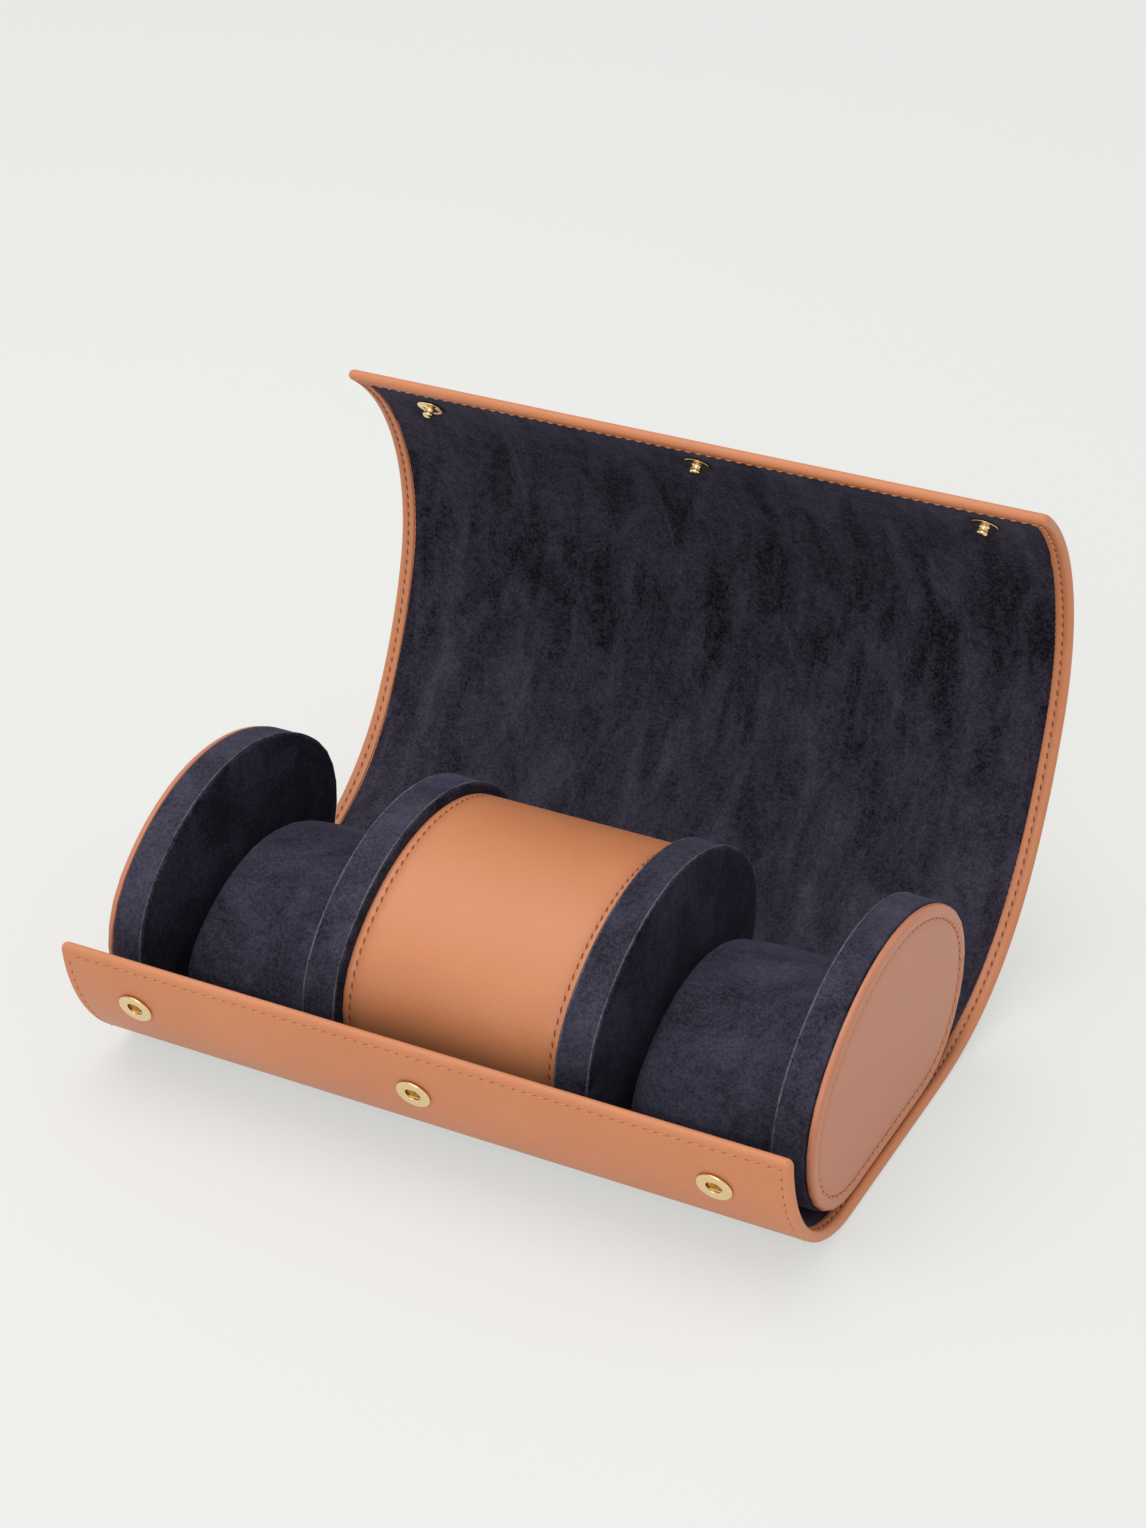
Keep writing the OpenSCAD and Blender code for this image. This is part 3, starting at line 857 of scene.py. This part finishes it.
# %% Plates and their rims
def dome_plate(x0, x1, inset=0.0):
    """A solid with the drawn-in outline, from x0 to x1, left in edit mode."""
    points = dome_points(inset)
    bpy.ops.object.select_all(action="DESELECT")
    bpy.ops.mesh.primitive_circle_add(vertices=len(points), radius=0.03, fill_type="NGON")
    obj = bpy.context.object
    for v, (y, z) in zip(obj.data.vertices, points):
        v.co = (x0 * mm, y * mm, (FLOOR + max(z, inset)) * mm)
    edit(obj)
    bpy.ops.mesh.select_all(action="SELECT")
    bpy.ops.mesh.extrude_region_move(TRANSFORM_OT_translate={"value": ((x1 - x0) * mm, 0, 0)})
    face_outwards()
    return obj


def pick(obj, kind, test):
    """In edit mode, select the faces or edges whose test is true."""
    bpy.ops.mesh.select_all(action="DESELECT")
    mesh = bmesh.from_edit_mesh(obj.data)
    for e in getattr(mesh, kind):
        if test(e):
            e.select_set(True)
    mesh.select_flush_mode()
    bmesh.update_edit_mesh(obj.data)


def round_rim(obj, x, radius, segments=4):
    """Round the edges between the side at x and the rim."""
    def on_rim(e):
        in_plane = all(abs(v.co.x / mm - x) < 0.01 for v in e.verts)
        return in_plane and len(e.link_faces) == 2 and sum(abs(f.normal.x) for f in e.link_faces) < 1.5

    bpy.ops.mesh.select_mode(type="EDGE")
    pick(obj, "edges", on_rim)
    bpy.ops.mesh.bevel(offset=radius * mm, segments=segments)
    bpy.ops.mesh.select_mode(type="FACE")


# %% [markdown]
# Where a rim strip and a side panel of velvet meet, they leave a thin raised edge whose pile catches the
# light. A bevel would be too soft for it. It is a tube run round the outline: a curve with a round bevel,
# turned into a mesh. Its paler velvet is a painted highlight.

# %% Tube round an outline
def edge_tube(name, points, radius, material):
    """A thin tube along the closed line of points, all in millimetres."""
    curve = bpy.data.curves.new(name, "CURVE")
    curve.dimensions = "3D"
    line = curve.splines.new("POLY")
    line.points.add(len(points) - 1)
    for p, (x, y, z) in zip(line.points, points):
        p.co = (x * mm, y * mm, z * mm, 1)
    line.use_cyclic_u = True
    curve.bevel_depth = radius * mm
    curve.bevel_resolution = 2
    obj = bpy.data.objects.new(name, curve)
    scene.collection.objects.link(obj)
    only(obj)
    bpy.ops.object.convert(target="MESH")
    return finish(bpy.context.object, name, material, 60)


# %% [markdown]
# Dividers and end caps are stiff discs covered with velvet. Their rims are softly rounded, their sides stand
# out a little in the middle, as padded ones do, and the thin raised edges run along them. A cap has only one
# such edge, because leather covers its outer side.

# %% Velvet discs
DIVIDER, CAP = (31.65, 42.25), (91.6, 101.3)
RIM_ROUND, SIDE_BORDER, SIDE_SLOPE, SIDE_SWELL = 1.1, 2.5, 6.0, 0.1
EDGE_BACK, EDGE_IN, EDGE_RADIUS = 0.75, 0.14, 0.34
SIDES = ((1, "right"), (-1, "left"))


def velvet_disc(name, x0, x1, edges):
    obj = dome_plate(x0, x1)
    for x in (x0, x1):
        round_rim(obj, x, RIM_ROUND)
    pick(obj, "faces", lambda f: abs(f.normal.x) > 0.99 and f.calc_area() > 1e-3)
    for width in (SIDE_BORDER, SIDE_SLOPE):
        bpy.ops.mesh.inset(thickness=width * mm, depth=SIDE_SWELL * mm)
    finish(obj, name, velvet, 50)
    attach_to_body(obj, "base")
    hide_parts(name + "_velvet")
    for k, x in enumerate(edges):
        at = x + (EDGE_BACK if x == x0 else -EDGE_BACK)
        outline = [(at, y, FLOOR + z) for y, z in dome_points(EDGE_IN)]
        tube = edge_tube(f"{name}_edge_{k + 1}", outline, EDGE_RADIUS, velvet_edge)
        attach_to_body(tube, "base")


for sign, label in SIDES:
    low, high = sorted((sign * DIVIDER[0], sign * DIVIDER[1]))
    velvet_disc(label + "_divider", low, high, (low, high))
    low, high = sorted((sign * CAP[0], sign * CAP[1]))
    velvet_disc(label + "_cap", low, high, (low,) if sign > 0 else (high,))
print("divider", DIVIDER[1] - DIVIDER[0], "mm thick, cap", CAP[1] - CAP[0], "mm thick")

# %% [markdown]
# Each end cap has a leather face on its outer side. Its rim is turned over a thin roll, so it stands a
# little proud. Insets draw the face ring by ring, and the ring under the seam is pushed in. The seam holds
# the leather down 3.8 mm inside the edge.

# %% Leather faces of the caps
FACE, FACE_INSET, FACE_SEAM, SEAM_HALF, THREAD_BED = (101.3, 103.3), 0.4, 3.8, 0.6, 0.3
FACE_RINGS = [(FACE_SEAM - SEAM_HALF, 0.0), (SEAM_HALF, -0.5), (SEAM_HALF, 0.3), (2.0, 0.1), (8.0, 0.0)]
FACE_ROUND, BACK_ROUND = 1.3, 0.4


def cap_face(label, sign):
    x_in, x_out = sign * FACE[0], sign * FACE[1]
    obj = dome_plate(x_in, x_out, FACE_INSET)
    pick(obj, "faces", lambda f: abs(f.calc_center_median().x / mm - x_out) < 0.01)
    for width, lift in FACE_RINGS:
        bpy.ops.mesh.inset(thickness=width * mm, depth=0)
        if lift:
            bpy.ops.transform.translate(value=(sign * lift * mm, 0, 0))
    round_rim(obj, x_out, FACE_ROUND, segments=5)
    round_rim(obj, x_in, BACK_ROUND, segments=2)
    finish(obj, label + "_cap_leather", face_tan, 50)
    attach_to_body(obj, "base")
    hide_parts(label + "_cap_face_leather")


def along_outline(points, pitch):
    """Even places on a closed outline of (y, z) points, each with its direction."""
    loop = np.array(points + points[:1])
    steps = np.linalg.norm(np.diff(loop, axis=0), axis=1)
    total, marks = steps.sum(), np.concatenate([[0], np.cumsum(steps)])
    count = int(round(total / pitch))
    for k in range(count):
        d = (k + 0.5) * total / count
        i = min(int(np.searchsorted(marks, d, side="right")) - 1, len(steps) - 1)
        t = (d - marks[i]) / steps[i]
        yield loop[i] + (loop[i + 1] - loop[i]) * t, (loop[i + 1] - loop[i]) / steps[i]


def cap_seam(label, sign):
    places = []
    for (y, z), (dy, dz) in along_outline(dome_points(FACE_INSET + FACE_SEAM), PITCH):
        centre = Vector((sign * (FACE[1] - THREAD_BED), y, FLOOR + max(z, FACE_INSET))) * mm
        places.append((centre, (0, dy, dz), (sign, 0, 0)))
    for o in sew(label + "_cap", places):
        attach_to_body(o, "base")
    return len(places)


for sign, label in SIDES:
    cap_face(label, sign)
    print(label, "cap seam", cap_seam(label, sign), "stitches")

# %% [markdown]
# The leather band goes over the centre block between the dividers. It is the dome outline drawn in by 3 mm,
# with a seam along both sides. The outline's long faces are cut along the stitch lines, and the line under
# the thread is sunk towards the middle of the block. The seams stop above the foot, where nothing shows.

# %% The centre band
BAND_HALF, BAND_IN, BAND_ROUND, BAND_SEAM, BAND_GROOVE = 31.6, 3.0, 0.6, 2.3, 0.28
BAND_ROWS = [BAND_SEAM + k for k in (-0.5, 0, 0.5, 3)]
BLOCK_MIDDLE, SEAM_FOOT, BAND_THREAD = 28, 6, 0.22


def centre_band():
    obj = dome_plate(-BAND_HALF, BAND_HALF, BAND_IN)
    for sign in (-1, 1):
        for d in BAND_ROWS:
            cut((sign * (BAND_HALF - d) * mm, 0, 0), (1, 0, 0))
    for x in (-BAND_HALF, BAND_HALF):
        round_rim(obj, x, BAND_ROUND, segments=3)
    bpy.ops.object.mode_set(mode="OBJECT")
    centre = Vector((0, 0, (FLOOR + BLOCK_MIDDLE) * mm))
    for v in obj.data.vertices:
        if abs(abs(v.co.x) / mm - (BAND_HALF - BAND_SEAM)) < 0.05 and v.co.z > (FLOOR + SEAM_FOOT) * mm:
            pull = centre - v.co
            pull.x = 0
            v.co += pull.normalized() * BAND_GROOVE * mm
    finish(obj, "centre_leather_band", tan, 50)
    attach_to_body(obj, "base")
    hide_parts("centre_band")


centre_band()
places = []
for sign in (-1, 1):
    for (y, z), (dy, dz) in along_outline(dome_points(BAND_IN + BAND_THREAD), PITCH):
        if z > SEAM_FOOT:
            centre = Vector((sign * (BAND_HALF - BAND_SEAM), y, FLOOR + z)) * mm
            places.append((centre, (0, dy, dz), (0, dz, -dy)))
# The band's stitches take the darker thread, which is painted shade.
for o in sew("band", places, sunk_and_shaded=True):
    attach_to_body(o, "base")
print("band stitches", len(places))

# %% [markdown]
# The cushions are soft rolls. They could be rounded boxes, but a stuffed cover has a crown and slack sides
# of its own. So each starts from its foam, remeshed into even faces, and is blown up as cloth for a few
# frames. No point may move more than 4 mm.

# %% Stuffing a cushion
CUSHION_FACE, CUSHION_CAP = 2.6, 4.0
PRESSURE, TENSION, CLOTH_MASS, CLOTH_FRAMES = 3.0, 25, 0.3, 15


def cushion_start(node):
    """The foam's own shape, merged and remeshed."""
    source = bpy.data.objects[node].data
    shape = bpy.data.meshes.new("cushion")
    shape.from_pydata([v.co[:] for v in source.vertices], [], [tuple(p.vertices) for p in source.polygons])
    obj = bpy.data.objects.new("cushion", shape)
    scene.collection.objects.link(obj)
    edit(obj, "VERT")
    bpy.ops.mesh.select_all(action="SELECT")
    bpy.ops.mesh.remove_doubles(threshold=0.00001)
    bpy.ops.object.mode_set(mode="OBJECT")
    obj.data.remesh_voxel_size = CUSHION_FACE * mm
    bpy.ops.object.voxel_remesh()
    return obj


def inflate(obj):
    """Blow the cushion up as cloth; what is given back is the furthest move before the cap."""
    before = np.array([v.co for v in obj.data.vertices])
    cloth = obj.modifiers.new("stuffing", "CLOTH")
    cloth.settings.effector_weights.gravity = 0
    cloth.settings.use_pressure = True
    cloth.settings.uniform_pressure_force = PRESSURE
    cloth.settings.tension_stiffness = TENSION
    cloth.settings.mass = CLOTH_MASS
    for k in range(CLOTH_FRAMES):
        scene.frame_set(k + 1)
    seen = obj.evaluated_get(bpy.context.evaluated_depsgraph_get())
    after = np.array([v.co for v in seen.data.vertices])
    obj.modifiers.clear()
    move = after - before
    far = np.linalg.norm(move, axis=1, keepdims=True)
    move *= np.minimum(1, CUSHION_CAP * mm / np.maximum(far, 1e-9))
    for v, co in zip(obj.data.vertices, before + move):
        v.co = co
    scene.frame_set(1)
    return float(far.max())


# %% [markdown]
# The stuffed cushion is pressed flat underneath, where it lies on the lining, and fitted to its cover's
# size. It is then subdivided, and a Shrinkwrap pushes each point that has sunk into the foam back out, so
# that the foam shows nowhere.

# %% Watch cushions
FLATTENED, FOAM_GAP = 1.2, 0.35
PAST_LOW, PAST_HIGH = np.array((0.5, -0.5, 0)) * mm, np.array((0.5, 0.2, 0.4)) * mm


def box_of(obj):
    points = np.array([v.co for v in obj.data.vertices])
    return points.min(axis=0), points.max(axis=0)


def fit_to(obj, low, high):
    """Scale the mesh so that its box is the one given."""
    a, b = box_of(obj)
    for v in obj.data.vertices:
        v.co = Vector(low + (np.array(v.co) - a) * (high - low) / (b - a))


def cushion(label):
    body = label + "_cushion"
    obj = cushion_start(body + "_foam")
    print(label, "moved up to", round(inflate(obj) / mm, 2), "mm")
    underside = box_of(obj)[0][2] + FLATTENED * mm
    for v in obj.data.vertices:
        v.co.z = max(v.co.z, underside)
    low, high = box_of(bpy.data.objects[body + "_cover"])
    fit_to(obj, low - PAST_LOW, high + PAST_HIGH)
    smooth = obj.modifiers.new("subdivide", "SUBSURF")
    smooth.levels = smooth.render_levels = 1
    apply(obj, smooth)
    wrap = obj.modifiers.new("outside", "SHRINKWRAP")
    wrap.target, wrap.wrap_mode = bpy.data.objects[body + "_foam"], "OUTSIDE"
    wrap.offset = FOAM_GAP * mm
    apply(obj, wrap)
    finish(obj, body, velvet, 80)
    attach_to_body(obj, body)
    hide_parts(body + "_cover")
    return obj


cushions = {label: cushion(label) for label in ("left", "right")}
print("cushion faces", [len(obj.data.polygons) for obj in cushions.values()])

# %% [markdown]
# The seam where a cushion's side panel meets its roll shows as a pale edge too, with the same painted
# highlight. No formula gives its line, because the cloth has moved. The finished cushion is sliced near its
# end instead, and the slice, put in order round its middle and thinned out, becomes the path of a thin tube.

# %% Edges of the cushions
FROM_END, CUSHION_EDGE_RADIUS, THINNED = 1.0, 0.36, 0.8


def slice_outline(obj, x):
    """The closed line, in millimetres and in order, where the plane at x metres cuts the mesh."""
    copy = copy_of(obj)
    edit(copy)
    cut((x, 0, 0), (1, 0, 0), clear_inner=True, clear_outer=True)
    bpy.ops.object.mode_set(mode="OBJECT")
    points = np.array([v.co for v in copy.data.vertices])
    bpy.data.objects.remove(copy)
    centre = (points.min(axis=0) + points.max(axis=0)) / 2
    points = points[np.argsort(np.arctan2(points[:, 2] - centre[2], points[:, 1] - centre[1]))]
    keep = [points[0]]
    for p in points[1:]:
        if np.linalg.norm(p - keep[-1]) > THINNED * mm:
            keep.append(p)
    return np.array(keep) / mm


for label, obj in cushions.items():
    xs = [v.co.x for v in obj.data.vertices]
    for k, x in enumerate((min(xs) + FROM_END * mm, max(xs) - FROM_END * mm)):
        outline = slice_outline(obj, x)
        tube = edge_tube(f"{label}_cushion_edge_{k + 1}", outline, CUSHION_EDGE_RADIUS, velvet_edge)
        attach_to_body(tube, label + "_cushion")
        print(tube.name, len(outline), "points")

# %% [markdown]
# Snap fasteners are turned parts. Spin could sweep a profile round, but it leaves a seam to be merged. So a
# circle is extruded and scaled ring by ring, as on a lathe. Each part is turned once, and its copies are set
# on the cover by a frame whose Z points out of the surface.

# %% Turning and setting out
def turned(profile, segments=40):
    """A closed part from its profile of (radius, height) in millimetres."""
    bpy.ops.object.select_all(action="DESELECT")
    bpy.ops.mesh.primitive_circle_add(vertices=segments, radius=profile[0][0] * mm,
                                      location=(0, 0, profile[0][1] * mm))
    obj = bpy.context.object
    settle()
    edit(obj, "EDGE")
    bpy.ops.mesh.select_all(action="SELECT")
    for (r0, z0), (r1, z1) in zip(profile, profile[1:]):
        bpy.ops.mesh.extrude_region_move(TRANSFORM_OT_translate={"value": (0, 0, (z1 - z0) * mm)})
        if abs(r1 - r0) > 1e-6:
            bpy.ops.transform.resize(value=(r1 / r0, r1 / r0, 1), center_override=(0, 0, z1 * mm))
    bpy.ops.mesh.select_mode(type="VERT")
    bpy.ops.mesh.select_all(action="SELECT")
    bpy.ops.mesh.remove_doubles(threshold=0.000001)
    bpy.ops.mesh.select_all(action="DESELECT")
    bpy.ops.mesh.select_non_manifold()
    bpy.ops.mesh.fill_holes(sides=0)
    face_outwards()
    bpy.ops.object.mode_set(mode="OBJECT")
    return obj


def cover_frame(x, s, d, out):
    """A frame on the cover: X along the roll, Z outwards with out 1 or inwards with out -1."""
    origin = on_cover(x, s, d)
    normal = (on_cover(x, s, d + out) - origin).normalized()
    across = Vector((1, 0, 0))
    return Matrix.Translation(origin) @ Matrix((across, normal.cross(across), normal)).transposed().to_4x4()


def join_as(pieces, name, material):
    only(*pieces)
    bpy.ops.object.join()
    return finish(bpy.context.object, name, material)


def set_out(pattern, frames, name, material):
    """One piece from a copy of the pattern at each frame; the pattern goes."""
    copies = [copy_of(pattern) for f in frames]
    for c, f in zip(copies, frames):
        c.data.transform(f)
    bpy.data.objects.remove(pattern)
    return join_as(copies, name, material)


# %% [markdown]
# A socket shows as a flat gold ring with a rolled rim round a hole. Its profile runs from under the rim,
# over it and across the plate, down into the hole, and closes on itself.

# %% Sockets on the lip
SOCKET_RING = [(4.3, 0.0)] + arc(4.45, 0.45, 0.45, -60, 90, 6) + [(4.0, 0.86), (3.3, 0.80), (2.75, 0.84)]
SOCKET_RING += arc(2.45, 0.6, 0.26, 80, 180, 5) + [(2.17, 0.1)]
socket_frames = [cover_frame(x, SOCKET_S, WALL, 1) for x in SNAP_X]
sockets = set_out(turned(SOCKET_RING + SOCKET_RING[:1]), socket_frames, "snap_sockets", gold)
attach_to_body(sockets, "lip_upper")
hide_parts("socket_plates")
print("sockets", len(sockets.data.polygons), "faces")

# %% [markdown]
# The leather has a punched hole behind each ring, so that one looks into the socket. A Boolean cuts it with
# a turned punch. The lip is first cut across on both sides of each hole, because long thin faces that end at
# a round hole would shade in streaks.

# %% Holes in the lip
PUNCH_RADIUS, PUNCH_TOP, PUNCH_BOTTOM, PUNCH_CORE, HOLE_MARGIN = 2.74, 0.5, -2.25, 0.2, 3.9
punch = turned([(PUNCH_CORE, PUNCH_TOP), (PUNCH_RADIUS, PUNCH_TOP), (PUNCH_RADIUS, PUNCH_BOTTOM),
                (PUNCH_CORE, PUNCH_BOTTOM)], 24)
punches = set_out(punch, socket_frames, "punches", gold)
lip = bpy.data.objects["lip_edge_cover"]
edit(lip)
for x in SNAP_X:
    for k in (-HOLE_MARGIN, HOLE_MARGIN):
        cut(((x + k) * mm, 0, 0), (1, 0, 0))
only(lip)
holes = lip.modifiers.new("holes", "BOOLEAN")
holes.object, holes.operation, holes.solver = punches, "DIFFERENCE", "EXACT"
apply(lip, holes)
bpy.data.objects.remove(punches)
print("lip with holes", len(lip.data.polygons), "faces")

# %% [markdown]
# Two short spring wires cross each socket's hole and hold the stud's ball. They are plated like the ring,
# and plain cylinders show all that can be seen of them.

# %% Spring wires
WIRE_RADIUS, WIRE_LENGTH, WIRE_APART, WIRE_HEIGHT = 0.22, 3.6, 1.6, 0.25
wires = []
for y in (-WIRE_APART, WIRE_APART):
    bpy.ops.object.select_all(action="DESELECT")
    bpy.ops.mesh.primitive_cylinder_add(vertices=10, radius=WIRE_RADIUS * mm, depth=WIRE_LENGTH * mm,
                                        location=(0, y * mm, WIRE_HEIGHT * mm), rotation=(0, math.pi / 2, 0))
    settle()
    wires.append(bpy.context.object)
springs = set_out(join_as(wires, "wires", gold), socket_frames, "snap_spring_wires", gold)
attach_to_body(springs, "lip_upper")
print("wires", len(springs.data.polygons), "faces")

# %% [markdown]
# A stud is a dished flange with a ball head on a short neck. It stands inside the flap, opposite its socket.

# %% Studs in the flap
STUD = [(0.3, 0.12), (3.7, 0.12)] + arc(3.78, 0.34, 0.2, -60, 90, 4)
STUD += [(3.3, 0.52), (2.3, 0.44), (1.6, 0.62), (1.30, 1.0), (1.22, 1.65)]
STUD += arc(0.62, 2.2, 0.98, -38, 80, 9) + [(0.3, 3.17)]
studs = set_out(turned(STUD), [cover_frame(x, STUD_S, 0, -1) for x in SNAP_X], "snap_studs", gold)
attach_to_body(studs, "flap")
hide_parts("stud_heads")
print("studs", len(studs.data.polygons), "faces")

# %% [markdown]
# The boards, cores, foam and metal backs stay as CAD nodes. They lie hidden inside, and each gets its own
# finish by the ending of its name. The first ending that fits counts. Only the sockets' backs show, through
# their rings, so they are gold.

# %% Finishes of the hidden pieces
HIDDEN_FINISHES = [("_board", board), ("backing", board), ("cap_core", core), ("face_card", core),
                   ("foam", foam), ("_core", foam), ("socket_springs", steel), ("socket_backs", gold),
                   ("stud_backs", nickel)]
hidden = [o for o in scene.objects if "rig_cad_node" in o and o.type == "MESH" and not o.hide_render]
for o in hidden:
    finishes = [material for ending, material in HIDDEN_FINISHES if o.name.endswith(ending)]
    if finishes:
        o.data.materials.clear()
        o.data.materials.append(finishes[0])
print("CAD nodes that stay", len(hidden))

# %% [markdown]
# The roll stands on a plain pale floor that fills the view. To the roll it is pale paper that sends its
# light back. A ray from the camera, off the metal or through a piece finds a darker floor that half glows
# instead, so that the shadow is faint and neutral, as in the photograph, and the roll gets no extra light.

# %% Floor
FLOOR_SIZE, FLOOR_BACK, FLOOR_DROP = 8, 1.5, 0.0002
PAPER, SEEN_PAPER = (0.80, 0.79, 0.77, 1), (0.32, 0.27, 0.255, 1)
NO_GLOW, SEEN_GLOW = (0, 0, 0, 1), (0.475, 0.53, 0.52, 1)
bpy.ops.object.select_all(action="DESELECT")
bpy.ops.mesh.primitive_plane_add(size=FLOOR_SIZE, location=(0, FLOOR_BACK, -FLOOR_DROP))
floor = bpy.context.object
floor.name = "floor"
floor_material, tree, shader, place = start_material("floor", 0.9)
path = tree.nodes.new("ShaderNodeLightPath").outputs
seen = maths(tree, "ADD", path["Is Camera Ray"], path["Is Glossy Ray"], use_clamp=True)
seen = maths(tree, "ADD", seen, path["Is Transmission Ray"], use_clamp=True)
tree.links.new(blend_colours(tree, seen, PAPER, SEEN_PAPER), shader.inputs["Base Color"])
tree.links.new(blend_colours(tree, seen, NO_GLOW, SEEN_GLOW), shader.inputs["Emission Color"])
shader.inputs["Emission Strength"].default_value = 1.0
floor.data.materials.append(floor_material)
print("floor", FLOOR_SIZE, "m wide")

# %% [markdown]
# The light is a photographer's: a pale world all round, a large lamp over the roll's left and a smaller one
# in front, which softens the shade behind the lip. They are large, so that no shadow has a hard edge.

# %% Lamps and world
WORLD_LIGHT = 0.74
world = bpy.data.worlds.new("studio")
scene.world = world
world.use_nodes = True
world.node_tree.nodes["Background"].inputs[0].default_value = (1, 1, 1, 1)
world.node_tree.nodes["Background"].inputs[1].default_value = WORLD_LIGHT


def lamp(name, place, aim, size, power):
    light = bpy.data.lights.new(name, "AREA")
    light.shape, light.size, light.energy = "DISK", size, power
    o = bpy.data.objects.new(name, light)
    scene.collection.objects.link(o)
    o.location = place
    o.rotation_euler = (Vector(aim) - Vector(place)).to_track_quat("-Z", "Y").to_euler()


lamp("top_lamp", (-0.35, -0.1, 1.4), (0, 0.03, 0.05), 1.2, 8.0)
lamp("front_lamp", (0.3, -1.2, 0.8), (0, 0, 0.05), 0.9, 5.0)
scene.view_settings.view_transform = "Standard"
print("lamps", len(bpy.data.lights))
